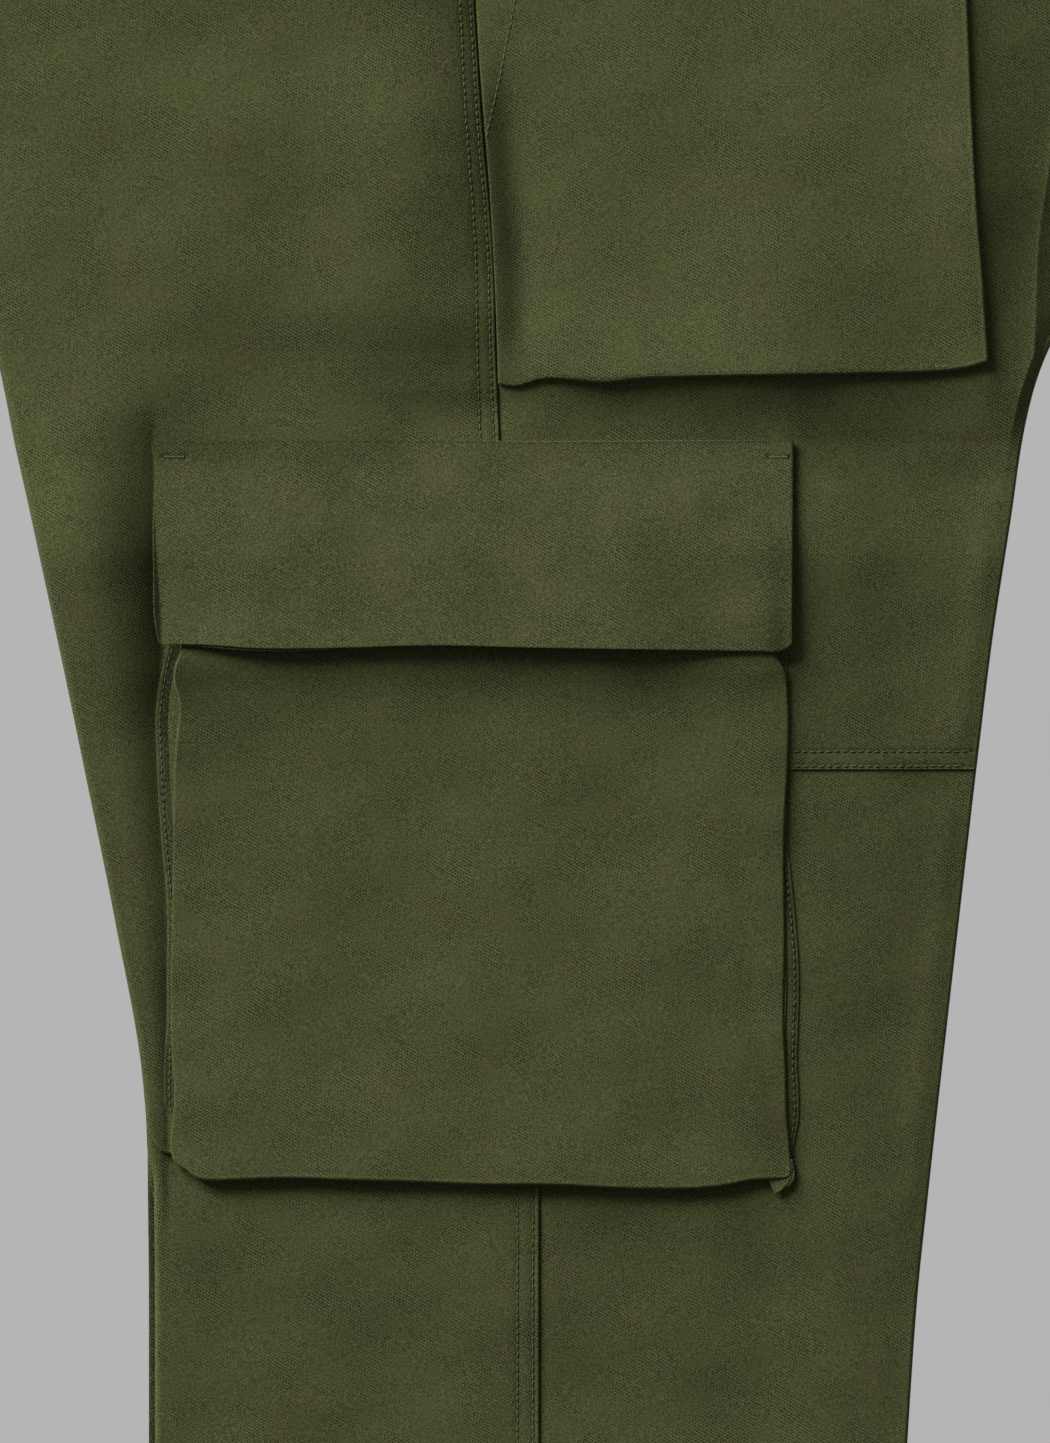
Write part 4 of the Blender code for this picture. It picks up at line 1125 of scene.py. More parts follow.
def rim_marks(length, pitch, extra=()):
    """Places across a patch: close together at its rims, even between them."""
    rim = np.array(RIM_MARKS)
    count = max(int(round((length - 2 * rim[-1]) / pitch)), 1)
    inside = np.linspace(rim[-1], length - rim[-1], count + 1)
    return np.unique(np.round(np.concatenate((rim, inside, length - rim, extra)), 6))


def patch(back, front, top, bottom, radii, pitch, side, outs, tones, extra=((), ())):
    """A closed patch of cloth between four curves, with rolled rims and round corners.

    outs gives how far its two faces lie out from the leg, by x, drop and the
    distances from its sides. Corners go clockwise from the top back one. extra
    gives more places across and down it.
    """
    back, front, top, bottom = (curve_through(line) for line in (back, front, top, bottom))
    ends = np.array((0.0, 1.0))
    corners = [back(ends)[0], front(ends)[0], front(ends)[1], back(ends)[1]]
    width = float(np.linalg.norm((corners[1] + corners[2] - corners[0] - corners[3]) / 2))
    depth = float(np.linalg.norm((corners[3] + corners[2] - corners[0] - corners[1]) / 2))
    a, b = np.meshgrid(rim_marks(width, pitch, extra[0]), rim_marks(depth, pitch, extra[1]))
    rim = np.minimum(np.minimum(a, width - a), np.minimum(b, depth - b))
    for index, radius in enumerate(radii):
        if radius <= 0.0:
            continue
        at_front, at_bottom = index in (1, 2), index in (2, 3)
        across = width - a if at_front else a
        down = depth - b if at_bottom else b
        p, q = 1 - across / radius, 1 - down / radius
        inside = (p > 0) & (q > 0)
        scale = np.maximum(p, q) / np.where(inside, np.hypot(p, q), 1.0)
        across = np.where(inside, radius * (1 - p * scale), across)
        down = np.where(inside, radius * (1 - q * scale), down)
        a = width - across if at_front else across
        b = depth - down if at_bottom else down
    across, down = a / width, b / depth
    s, t = across[..., None], down[..., None]
    lines = (1 - t) * top(across) + t * bottom(across) + (1 - s) * back(down) + s * front(down)
    upper_corners = (1 - s) * (1 - t) * corners[0] + s * (1 - t) * corners[1]
    lower_corners = s * t * corners[2] + (1 - s) * t * corners[3]
    spot = lines - upper_corners - lower_corners
    x, drop = spot[..., 0], spot[..., 1]
    near = Near(a, width - a, b, depth - b, rim)
    low, high = outs(x, drop, near)
    middle, radius = (low + high) / 2, (high - low) / 2
    roll = np.sqrt(np.clip(1 - (1 - np.clip(rim / np.minimum(radius, RIM_ROUND), 0, 1)) ** 2, 0, 1))
    upper = points_at(x, drop, place_out(side, x, drop, middle + radius * roll))
    lower = points_at(x, drop, place_out(side, x, drop, middle - radius * roll))
    rows, columns = x.shape
    hidden = (rows - 2) * (columns - 2)
    up = np.arange(rows * columns).reshape(rows, columns)
    down = up.copy()
    down[1:-1, 1:-1] = rows * columns + np.arange(hidden).reshape(rows - 2, columns - 2)
    faces = []
    for grid, step in ((up, 1), (down, -1)):
        quad = np.stack((grid[:-1, :-1], grid[:-1, 1:], grid[1:, 1:], grid[1:, :-1])[::step], axis=-1)
        faces += quad.reshape(-1, 4).tolist()
    points = np.concatenate((upper.reshape(-1, 3), lower[1:-1, 1:-1].reshape(-1, 3)))
    tone = np.concatenate((tones(x, drop, near).ravel(), np.zeros(hidden)))
    return (points, faces, tone), (width, depth)


# Pale rims, partly wear and partly painted highlight.
def rim_wear_and_highlight(amount):
    return lambda x, drop, near: amount * peak(near.rim, RIM_WIDTH)


def rim_bead(distance):
    """A rolled edge: a bead at the very edge, and a faint groove inside it."""
    return BEAD_RISE * (peak(distance - 0.0006, 0.0006) - peak(distance - 0.0021, 0.0009))


def tucked(low, floor, distance):
    """The underside of an edge that is turned in and caught down: it reaches the cloth below it."""
    return floor + (low - floor) * soft_step(distance, *TUCK_IN)


def lying(low, cloth):
    """A hidden patch, which lies evenly on the leg."""
    return lambda x, drop, near: (np.full(x.shape, low), np.full(x.shape, low) + cloth)


HIP_HEM, HIP_HEM_WIDTH = 0.0006, (0.0040, 0.0300)
HIP_STAND_FRONT, HIP_STAND_BOTTOM, HIP_STAND_WIDTH = 0.0003, 0.0018, 0.040
HIP_FLUTTER, HIP_FLUTTER_WIDTH = 0.0003, 0.03


def hip_outs(x, drop, near):
    free = np.minimum(near.front, near.bottom)
    hem = HIP_HEM * (1 - soft_step(free, *HIP_HEM_WIDTH)) + rim_bead(free)
    stand = np.maximum(
        HIP_STAND_FRONT * peak(near.front, HIP_STAND_WIDTH),
        HIP_STAND_BOTTOM * peak(near.bottom, HIP_STAND_WIDTH),
    )
    stand = stand * soft_step(near.back, 0.004, 0.030) * soft_step(near.top, 0.0, 0.060)
    flutter = HIP_FLUTTER * np.sin(118 * x + 0.8) * peak(near.bottom, HIP_FLUTTER_WIDTH)
    flutter = flutter * soft_step(near.front, 0.004, 0.05) * soft_step(near.back, 0.004, 0.03)
    high = SEAM_GAP + stand + flutter + POCKET_CLOTH + hem
    return tucked(high - POCKET_CLOTH - hem, SEAM_GAP, free), high


def hip_tones(x, drop, near):
    """Pale rims, partly wear and partly painted highlight, and a painted shadow line where the hem's second
    layer ends along the bottom.
    """
    rim = 0.22 * peak(np.minimum(near.front, near.bottom), RIM_WIDTH)
    line = peak(near.bottom - 0.0014, 0.00035) * soft_step(near.front, 0.004, 0.020)
    return rim - 0.55 * line


def hip_pocket(name, side, pitch, outs):
    seam = [Spot(float(outseam_line(drop)) + SEAM_GAP + 0.0006, drop) for drop in HIP_POCKET_SIDE]
    top = [seam[0], Spot(0.09, HIP_POCKET_TOP), HIP_POCKET_FRONT[0]]
    bottom = [seam[-1], *HIP_POCKET_BOTTOM]
    shell, flat = patch(seam, HIP_POCKET_FRONT, top, bottom, (0, 0, 0.0010, 0), pitch, side, outs, hip_tones)
    cloth_piece(name, shell, side)


hip_pocket("right_front_pocket_cloth", RIGHT, 0.0028, hip_outs)
hip_pocket("left_front_pocket_cloth", LEFT, 0.0070, lying(SEAM_GAP, POCKET_CLOTH))

OPENING_STITCH = Stitch(0.0028, 0.0021, 0.00046)
OPENING_ROW = table(
    Spot,
    (0.0455, 0.0420), (0.0400, 0.0650), (0.0325, 0.1000), (0.0258, 0.1350), (0.0193, 0.1715),
    (0.0158, 0.1890), (0.0123, 0.2065), (0.0102, 0.2153), (0.0086, 0.2225),
)


def hip_pocket_top(x, drop):
    return near_top(x, drop) + SEAM_GAP + POCKET_CLOTH - STITCH_SHALLOW_SINK


def far_hip_pocket_bottom(x, drop):
    return bed(x, drop) - SEAM_GAP - POCKET_CLOTH


sew_both("pocket_opening_stitches", [OPENING_ROW], hip_pocket_top, far_hip_pocket_bottom, OPENING_STITCH)


# Cargo pockets' gussets ----------------------------------------------------
# A strip of twill round three sides of each cargo pocket. Its outer edge is
# turned under and sewn to the leg, and it folds back on itself to the pocket's
# face, so that the pocket can swell.
GUSSET_CLOTH = 0.0006
GUSSET_LOW = 0.0001 + GUSSET_CLOTH
GUSSET_HIGH = GUSSET_LOW + 0.0002
GUSSET_FOLD = 0.0200
GUSSET_ROW = 0.0014
GUSSET_STITCH = Stitch(0.0026, 0.0019, 0.00044)
# The attached edge: down the back, across the bottom and up the front.
GUSSET_EDGE = table(
    Spot,
    (-0.1016, 0.3800), (-0.1019, 0.3973), (-0.1036, 0.4043), (-0.1054, 0.4141), (-0.1061, 0.4214),
    (-0.1058, 0.4351), (-0.1050, 0.4522), (-0.1038, 0.4690), (-0.1026, 0.4820), (-0.1022, 0.5215),
    (-0.1020, 0.5660),
    (-0.1005, 0.5745), (-0.0960, 0.5790), (-0.0880, 0.5805), (-0.0400, 0.5815), (0.0300, 0.5820),
    (0.0900, 0.5815), (0.1090, 0.5800), (0.1150, 0.5760),
    (0.1172, 0.5690), (0.1177, 0.5400), (0.1182, 0.5089), (0.1169, 0.4911), (0.1155, 0.4778),
    (0.1143, 0.4673), (0.1138, 0.4400), (0.1140, 0.4050), (0.1142, 0.3800),
)
GUSSET_INSETS = (0.0, 0.0004, 0.0009, 0.0014, 0.0019, 0.0026, 0.0040, 0.0060, 0.0090, 0.0130, 0.0175)
# A section of the strip: it lies on the leg, folds and comes back under the pocket's face.
Turn = namedtuple("Turn", "inset out")
GUSSET_FLAT = [Turn(inset, GUSSET_LOW + 0.0003 * peak(inset - 0.0010, 0.0040)) for inset in GUSSET_INSETS]
GUSSET_PATH = GUSSET_FLAT + table(
    Turn,
    (GUSSET_FOLD - 0.0014, GUSSET_LOW), (GUSSET_FOLD - 0.0011, (GUSSET_LOW + GUSSET_HIGH) / 2),
    (GUSSET_FOLD - 0.0014, GUSSET_HIGH), (0.0150, GUSSET_HIGH), (0.0090, GUSSET_HIGH), (0.0045, GUSSET_HIGH),
)
GUSSET_EASE = 9
FRONT_PRESS, BACK_PRESS, PRESS_WIDTH = 0.0004, 0.0001, 0.0010
# Painted marks on the strip: shade along its stitched groove, a highlight on its attached rim, and shade over
# its back side.
GROOVE_SHADE, GROOVE_WIDTH = 0.45, 0.0005
BACK_RIM_HIGHLIGHT, BACK_RIM_DROPS, FRONT_RIM_HIGHLIGHT = 0.50, (0.445, 0.500), 0.22
GUSSET_SHADE, UPPER_SHADE, UPPER_SHADE_DROPS = 0.32, 0.43, (0.420, 0.470)
# A corner of the strip hangs out below the pocket's front bottom corner.
TIP_BACK = table(Spot, (0.1062, 0.5770), (0.1080, 0.5838), (0.1100, 0.5892))
TIP_FRONT = table(Spot, (0.1164, 0.5770), (0.1157, 0.5838), (0.1117, 0.5885))
TIP_RADIUS = 0.0014
TIP_PITCH = 0.0010
TIP_OUT, TIP_DIP = 0.0020, 0.0006


def gusset_line(count):
    """Spots along the attached edge, and the directions from it to the pocket's middle."""
    spots = curve_through(GUSSET_EDGE)(np.linspace(0.0, 1.0, count))
    run = np.gradient(spots, axis=0)
    run /= np.linalg.norm(run, axis=1, keepdims=True)
    return spots, np.stack((run[:, 1], -run[:, 0]), axis=-1)


def tip_outs(x, drop, near):
    low = TIP_OUT - TIP_DIP * soft_step(near.bottom, 0.0, 0.0110)
    return low, low + GUSSET_CLOTH


# The hanging tip is painted lighter all over, and a painted highlight runs along its front rim.
def tip_tones(x, drop, near):
    return 0.12 + 0.35 * peak(near.front, RIM_WIDTH)


def gusset(name, side, count, every):
    spots, inward = gusset_line(count)
    for column in (0, 1):
        padded = np.pad(inward[:, column], GUSSET_EASE // 2, mode="edge")
        inward[:, column] = np.convolve(padded, np.ones(GUSSET_EASE) / GUSSET_EASE, mode="valid")
    insets, outs = np.array(GUSSET_PATH).T[:, None, :]
    on_leg = (np.arange(len(GUSSET_PATH)) < len(GUSSET_FLAT))[None, :]
    x = spots[:, :1] + inward[:, :1] * insets
    drop = spots[:, 1:] + inward[:, 1:] * insets
    pressed = np.where(x > 0, FRONT_PRESS, BACK_PRESS) * peak(insets, PRESS_WIDTH) * on_leg
    along = np.cumsum(np.concatenate(([0], np.linalg.norm(np.diff(spots, axis=0), axis=1))))[:, None]
    dent, hole = sewn(insets, (GUSSET_ROW,), along, GUSSET_STITCH.pitch)
    outer = points_at(x, drop, place_out(side, x, drop, outs - pressed) - side * dent * on_leg)
    # A painted highlight on the attached rim, stronger on the back side, which faces the lamp.
    rim_highlight = np.where(x < 0, BACK_RIM_HIGHLIGHT * soft_step(drop, *BACK_RIM_DROPS), FRONT_RIM_HIGHLIGHT)
    # Painted shade over the back side of the strip, deepest under the flap.
    shade = GUSSET_SHADE + UPPER_SHADE * (1 - soft_step(drop, *UPPER_SHADE_DROPS))
    shade_start = 0.0016 - 0.0030 * (1 - soft_step(drop, 0.400, 0.440))
    shade = np.where(x < 0, shade, 0.0) * soft_step(insets, shade_start, 0.0028)
    groove = GROOVE_SHADE * peak(insets - GUSSET_ROW, GROOVE_WIDTH)
    tone = (rim_highlight * peak(insets, EDGE_WIDTH) - shade - groove - 0.5 * hole) * on_leg
    shells = [wall(outer, GUSSET_CLOTH, every, -side, tone)]
    if side == RIGHT:
        top, bottom = ([TIP_BACK[end], TIP_FRONT[end]] for end in (0, -1))
        radii = (0, 0, TIP_RADIUS, TIP_RADIUS)
        shells.append(patch(TIP_BACK, TIP_FRONT, top, bottom, radii, TIP_PITCH, side, tip_outs, tip_tones)[0])
    cloth_piece(name, joined(*shells), side)


gusset("right_cargo_gusset_cloth", RIGHT, 480, 3)
gusset("left_cargo_gusset_cloth", LEFT, 160, 2)


def gusset_top(x, drop):
    return near_top(x, drop) + GUSSET_LOW + 0.00008


def far_gusset_bottom(x, drop):
    return bed(x, drop) - GUSSET_LOW - 0.0002


gusset_spots, gusset_inward = gusset_line(300)
gusset_lines = [gusset_spots + gusset_inward * GUSSET_ROW]
sew_both("gusset_stitches", gusset_lines, gusset_top, far_gusset_bottom, GUSSET_STITCH)


# Cargo pockets' faces ------------------------------------------------------
# One piece of twill on each thigh, seamed to its gusset round three sides and
# open under the flap. Its edges are soft and a little wavy.
BAG_TOP = 0.3660
BAG_BACK = table(
    Spot,
    (-0.0985, BAG_TOP), (-0.0975, 0.3900), (-0.0972, 0.3985), (-0.0986, 0.4018), (-0.0998, 0.4055),
    (-0.0999, 0.4104), (-0.0988, 0.4141), (-0.0981, 0.4190), (-0.0983, 0.4235), (-0.0988, 0.4267),
    (-0.0998, 0.4393), (-0.1003, 0.4732), (-0.1006, 0.5429), (-0.0998, 0.5541), (-0.1005, 0.5630),
    (-0.1013, 0.5703), (-0.1007, 0.5766),
)
BAG_FRONT = table(
    Spot,
    (0.1110, BAG_TOP), (0.1098, 0.3900), (0.1103, 0.4008), (0.1131, 0.4053), (0.1145, 0.4165),
    (0.1145, 0.4375), (0.1134, 0.4585), (0.1134, 0.5040), (0.1131, 0.5306), (0.1138, 0.5443),
    (0.1143, 0.5621), (0.1155, 0.5754), (0.1162, 0.5838),
)
BAG_BOTTOM = table(
    Spot,
    (-0.1007, 0.5766), (-0.0992, 0.5787), (-0.0959, 0.5806), (-0.0936, 0.5828), (-0.0911, 0.5841),
    (-0.0858, 0.5846), (-0.0770, 0.5843), (-0.0634, 0.5838), (-0.0361, 0.5845), (-0.0210, 0.5849),
    (0.0070, 0.5859), (0.0315, 0.5860), (0.0665, 0.5874), (0.0889, 0.5867), (0.0945, 0.5859),
    (0.1015, 0.5844), (0.1089, 0.5840), (0.1162, 0.5838),
)
BAG_RADII = (0, 0, 0.0030, 0.0012)
BAG_STAND = 0.0016
BAG_LEAST = 0.0010
BAG_SOFTS = table(
    Soft,
    (-0.0850, 0.4200, -0.0780, 0.5500, 0.0120, 0.0005),
    (-0.0300, 0.4300, -0.0200, 0.5000, 0.0200, -0.0005),
    (0.0250, 0.5150, 0.0750, 0.5000, 0.0160, 0.0006),
    (0.0550, 0.4150, 0.0700, 0.4700, 0.0180, -0.0004),
    (-0.0550, 0.5600, 0.0500, 0.5680, 0.0100, 0.0005),
    (0.0950, 0.4300, 0.0980, 0.5500, 0.0080, 0.0005),
)
bag_stand = curve(
    (0.3660, 0.0020), (0.3800, 0.0034), (0.3900, 0.0045), (0.3990, 0.0050), (0.4040, 0.0046),
    (0.4140, 0.0026), (0.4250, 0.0018), (0.4500, 0.0015), (0.5000, 0.0018), (0.5600, 0.0028),
    (0.5900, 0.0044),
)
BAG_FRONT_DIP, BAG_FRONT_LENGTH = 0.0026, 0.018
BAG_BACK_DIP, BAG_BACK_LENGTH = 0.0006, 0.010
BAG_FLUTTER, SIDE_FLUTTER_LENGTH, BOTTOM_FLUTTER_LENGTH = 0.0003, 0.010, 0.012
# The back edge curls up under the flap's lower edge.
CURL_RISE, CURL_LENGTH = 0.0034, 0.018
CURL_DROPS = ((0.386, 0.402), (0.404, 0.465))
BAG_SEAM, BAG_SEAM_WIDTH = 0.0003, (0.0020, 0.0160)


def bag_out(x, drop):
    """How far the pocket's face lies out from the leg, at its underside: least along its front edge."""
    front = np.maximum(POCKET_FRONT - 0.0015 - x, 0.0)
    out = bag_stand(drop) + crease(BAG_SOFTS, x, drop) - BAG_FRONT_DIP * np.exp(-front / BAG_FRONT_LENGTH)
    return np.maximum(out, BAG_LEAST)


def bag_outs(x, drop, near):
    sides = np.minimum(near.back, near.front)
    flutter = np.sin(250 * drop) * np.exp(-sides / SIDE_FLUTTER_LENGTH)
    flutter = flutter + np.sin(90 * x) * np.exp(-near.bottom / BOTTOM_FLUTTER_LENGTH)
    curl = window(drop, *CURL_DROPS)
    dip = BAG_BACK_DIP * (1 - curl) * np.exp(-near.back / BAG_BACK_LENGTH)
    low = np.maximum(bag_out(x, drop) + BAG_FLUTTER * flutter - dip, BAG_LEAST)
    low = low + CURL_RISE * curl * np.exp(-near.back / CURL_LENGTH)
    free = np.minimum(sides, near.bottom)
    seam = BAG_SEAM * (1 - soft_step(free, *BAG_SEAM_WIDTH))
    return tucked(low, BAG_LEAST, free), low + POCKET_CLOTH + seam + rim_bead(near.bottom)


def even_tone(x, drop, near):
    return np.zeros(x.shape)


def cargo_bag(name, side, pitch, outs):
    top = [BAG_BACK[0], BAG_FRONT[0]]
    shell, flat = patch(BAG_BACK, BAG_FRONT, top, BAG_BOTTOM, BAG_RADII, pitch, side, outs, even_tone)
    cloth_piece(name, shell, side)


cargo_bag("right_cargo_bag_cloth", RIGHT, 0.0027, bag_outs)
cargo_bag("left_cargo_bag_cloth", LEFT, 0.0070, lying(BAG_STAND, POCKET_CLOTH))


# Cargo pockets' flaps ------------------------------------------------------
# Two layers of twill, turned right side out, sewn to the leg along the top
# edge and tacked down at its ends. The facing shows along the loose edge.
FACING_CLOTH = 0.0007
LAYER_GAP = 0.0001
FLAP_TOP = 0.3262
FLAP_RISE = (0.3290, 0.3740)
FLAP_BACK = table(
    Spot, (-0.1080, FLAP_TOP), (-0.1076, 0.3290), (-0.1070, 0.3330), (-0.1073, 0.3540), (-0.1070, 0.3720),
    (-0.1064, 0.3893), (-0.1048, 0.3974),
)
FLAP_FRONT = table(Spot, (0.1166, FLAP_TOP - 0.0006), (0.1165, 0.3400), (0.1162, 0.3700), (0.1160, 0.3966))
FLAP_UPPER = [FLAP_BACK[0], Spot(-0.0400, 0.3258), Spot(0.0400, 0.3262), FLAP_FRONT[0]]
FLAP_LOWER = table(
    Spot,
    (-0.1048, 0.3974), (-0.0940, 0.3972), (-0.0700, 0.3986), (-0.0400, 0.3984), (-0.0100, 0.3976),
    (0.0250, 0.3984), (0.0600, 0.3990), (0.0900, 0.3994), (0.1050, 0.3996), (0.1117, 0.3996),
    (0.1142, 0.3984), (0.1160, 0.3966),
)
FACING_LOWER = table(
    Spot,
    (-0.1040, 0.3966), (-0.0940, 0.3976), (-0.0700, 0.3994), (-0.0480, 0.3990), (-0.0300, 0.3968),
    (0.0250, 0.3970), (0.0600, 0.3978), (0.0900, 0.3984), (0.1070, 0.3984), (0.1150, 0.3950),
)
FLAP_RADII = (0, 0, 0.0010, 0.0016)
FACING_INSETS = (0.0006, 0.0007)
FACING_PITCH_SHARE = 1.6
FACING_WEAR_AND_HIGHLIGHT, FAR_FLAP_WEAR_AND_HIGHLIGHT = 0.35, 0.2
# Finer places beside the flap's ends and along its top, where the tacks are.
FINE_BESIDE = np.arange(0.0010, 0.0145, 0.0007)
FINE_DOWN = np.arange(0.0034, 0.0074, 0.0005)
flap_stand = curve(
    (FLAP_TOP, SEAM_GAP), (0.3300, SEAM_GAP), (0.3450, 0.0018), (0.3600, 0.0036), (0.3750, 0.0057),
    (0.3900, 0.0086), (0.4010, 0.0112),
)
BACK_END, BACK_END_SHARE = (-0.1050, -0.0500), 0.08
FRONT_END, FRONT_END_SHARE = (0.0500, 0.1160), 0.72
FLAP_FLUTTER, FLAP_FLUTTER_DROPS = 0.0003, (0.3700, 0.3990)
MOUTH_DROPS, MOUTH_FRONT, MOUTH_FRONT_SHARE = (0.3500, 0.3660), (0.1070, 0.1168), 0.40
MOUTH_BLEND = 0.0004
# The bar tacks at the flap's ends: close cross stitches over a bar.
Tack = namedtuple("Tack", "x0 x1 drop")
TACKS = table(Tack, (-0.1032, -0.0966, 0.3315), (0.1082, 0.1146, 0.3316))
TACK_PITCH, TACK_HEIGHT = 0.00036, 0.0009
TACK_PRESS, TACK_SHADE = 0.0004, 0.75
# The flap's twill is painted a little darker, as shade against the extra light its tilted face catches.
shaded_flap_twill = twill("olive twill flap, painted darker", 1.0, base=(0.0456, 0.0540, 0.0175))


def flap_low(x, drop):
    """How far the flap's underside lies out from the leg: never less than the pocket's mouth below it."""
    ends = BACK_END_SHARE * (1 - soft_step(x, *BACK_END)) + FRONT_END_SHARE * soft_step(x, *FRONT_END)
    free = flap_stand(drop) * (1 - ends)
    free = free + FLAP_FLUTTER * np.sin(85 * x + 1.0) * soft_step(drop, *FLAP_FLUTTER_DROPS)
    over_bag = (bag_out(x, drop) + POCKET_CLOTH) * soft_step(drop, *MOUTH_DROPS)
    mouth = SEAM_GAP + over_bag * (1 - MOUTH_FRONT_SHARE * soft_step(x, *MOUTH_FRONT))
    return (free + mouth + np.sqrt((free - mouth) ** 2 + MOUTH_BLEND**2)) / 2


def far_flap_low(x, drop):
    """The left flap's, which the leg presses down."""
    low = SEAM_GAP + (BAG_STAND + POCKET_CLOTH) * share_of(drop, *FLAP_RISE)
    return np.minimum(low, bed(x, drop) - FACING_CLOTH - POCKET_CLOTH - LAYER_GAP)


def tack_press(x, drop):
    """Where the bar tacks press the flap in, most of all at their ends."""
    press = np.zeros(np.broadcast(x, drop).shape)
    for tack in TACKS:
        away = np.abs(x - (tack.x0 + tack.x1) / 2) - (tack.x1 - tack.x0) / 2
        along = 0.55 * (1 - soft_step(away, 0.0, 0.0016)) + 0.60 * peak(away - 0.0007, 0.0008)
        press += along * peak(drop - tack.drop, 0.0010)
    return press


def facing_outs(x, drop, near):
    low = flap_low(x, drop)
    return low, low + FACING_CLOTH


def flap_outs(x, drop, near):
    low = flap_low(x, drop) + FACING_CLOTH + LAYER_GAP
    return low, low + POCKET_CLOTH - TACK_PRESS * tack_press(x, drop)


def far_flap_outs(x, drop, near):
    low = far_flap_low(x, drop)
    return low, low + FACING_CLOTH + POCKET_CLOTH


def flap_tones(x, drop, near):
    """A pale lower rim, partly wear and partly painted highlight; painted shade along the top seam, a little
    along the back edge, and round the tacks.
    """
    top = 0.75 * peak(near.top, EDGE_WIDTH) + 0.20 * peak(near.back, EDGE_WIDTH)
    return 0.25 * peak(near.bottom, RIM_WIDTH) - TACK_SHADE * tack_press(x, drop) - top


def far_cargo_flap():
    shell, flat = patch(
        FLAP_BACK, FLAP_FRONT, FLAP_UPPER, FLAP_LOWER, FLAP_RADII, 0.0070, LEFT, far_flap_outs,
        rim_wear_and_highlight(FAR_FLAP_WEAR_AND_HIGHLIGHT),
    )
    cloth_piece("left_cargo_flap_cloth", shell, LEFT)


def near_cargo_flap(pitch):
    width = FLAP_FRONT[0].x - FLAP_BACK[0].x
    upper, (width, depth) = patch(
        FLAP_BACK, FLAP_FRONT, FLAP_UPPER, FLAP_LOWER, FLAP_RADII, pitch, RIGHT, flap_outs, flap_tones,
        (np.concatenate((FINE_BESIDE, width - FINE_BESIDE)), FINE_DOWN),
    )
    back = [Spot(spot.x + FACING_INSETS[0], spot.drop) for spot in FLAP_BACK[:-1]] + [FACING_LOWER[0]]
    front = [Spot(spot.x - FACING_INSETS[1], spot.drop) for spot in FLAP_FRONT[:-1]] + [FACING_LOWER[-1]]
    facing, _ = patch(
        back, front, [back[0], front[0]], FACING_LOWER, FLAP_RADII, pitch * FACING_PITCH_SHARE, RIGHT,
        facing_outs, rim_wear_and_highlight(FACING_WEAR_AND_HIGHLIGHT),
    )
    cloth_piece(
        "right_cargo_flap_cloth", joined(upper, facing), RIGHT,
        finish=shaded_flap_twill,
    )


near_cargo_flap(0.0026)
far_cargo_flap()


def flap_top(x, drop):
    return near_top(x, drop) + flap_low(x, drop) + FACING_CLOTH + POCKET_CLOTH - STITCH_SHALLOW_SINK


def far_flap_bottom(x, drop):
    return bed(x, drop) - far_flap_low(x, drop) - FACING_CLOTH - POCKET_CLOTH


tack_lines = [
    ((x, tack.drop - TACK_HEIGHT / 2), (x + TACK_PITCH / 2, tack.drop + TACK_HEIGHT / 2))
    for tack in TACKS for x in np.arange(tack.x0, tack.x1, TACK_PITCH)
]
TACK_STITCH = Stitch(math.hypot(TACK_PITCH / 2, TACK_HEIGHT), TACK_HEIGHT, TACK_PITCH)
sew_both("flap_tacks", tack_lines, flap_top, far_flap_bottom, TACK_STITCH, sides=5)


# Waistband -----------------------------------------------------------------
# One folded strip of twill round the waist, sewn along both edges. Its left
# end laps over the right one at the front.
BAND_CLOTH = 0.0018
BAND_LAP = 0.0240
BAND_RAMP = 0.0080
BAND_DIP = 0.0008
BAND_END_ROOM = 0.0025
BAND_LAP_SHORT = 0.0015
BAND_ROWS = (0.0020, 0.0375)
BAND_ROW_INSET = 0.004
BAND_SINK = 0.00015
BAND_SHARES = np.linspace(0.80, 0.04, 60)
BAND_TURNS = np.radians(np.linspace(90, -90, 15))
BAND_RAMP_SHARES = np.linspace(0.0, 1.0, 8)
BAND_LAP_COLUMNS = 10
SLACK, SLACK_FRONT, SLACK_BACK = 0.0005, (0.034, 0.060), (0.003, 0.020)


def band_slack(x, drop):
    """The strip's upper side isn't quite taut."""
    waves = SLACK * (1 + np.sin(38 * x + 0.5))
    return waves * soft_step(front_line(drop) - x, *SLACK_FRONT) * soft_step(x - back_line(drop), *SLACK_BACK)


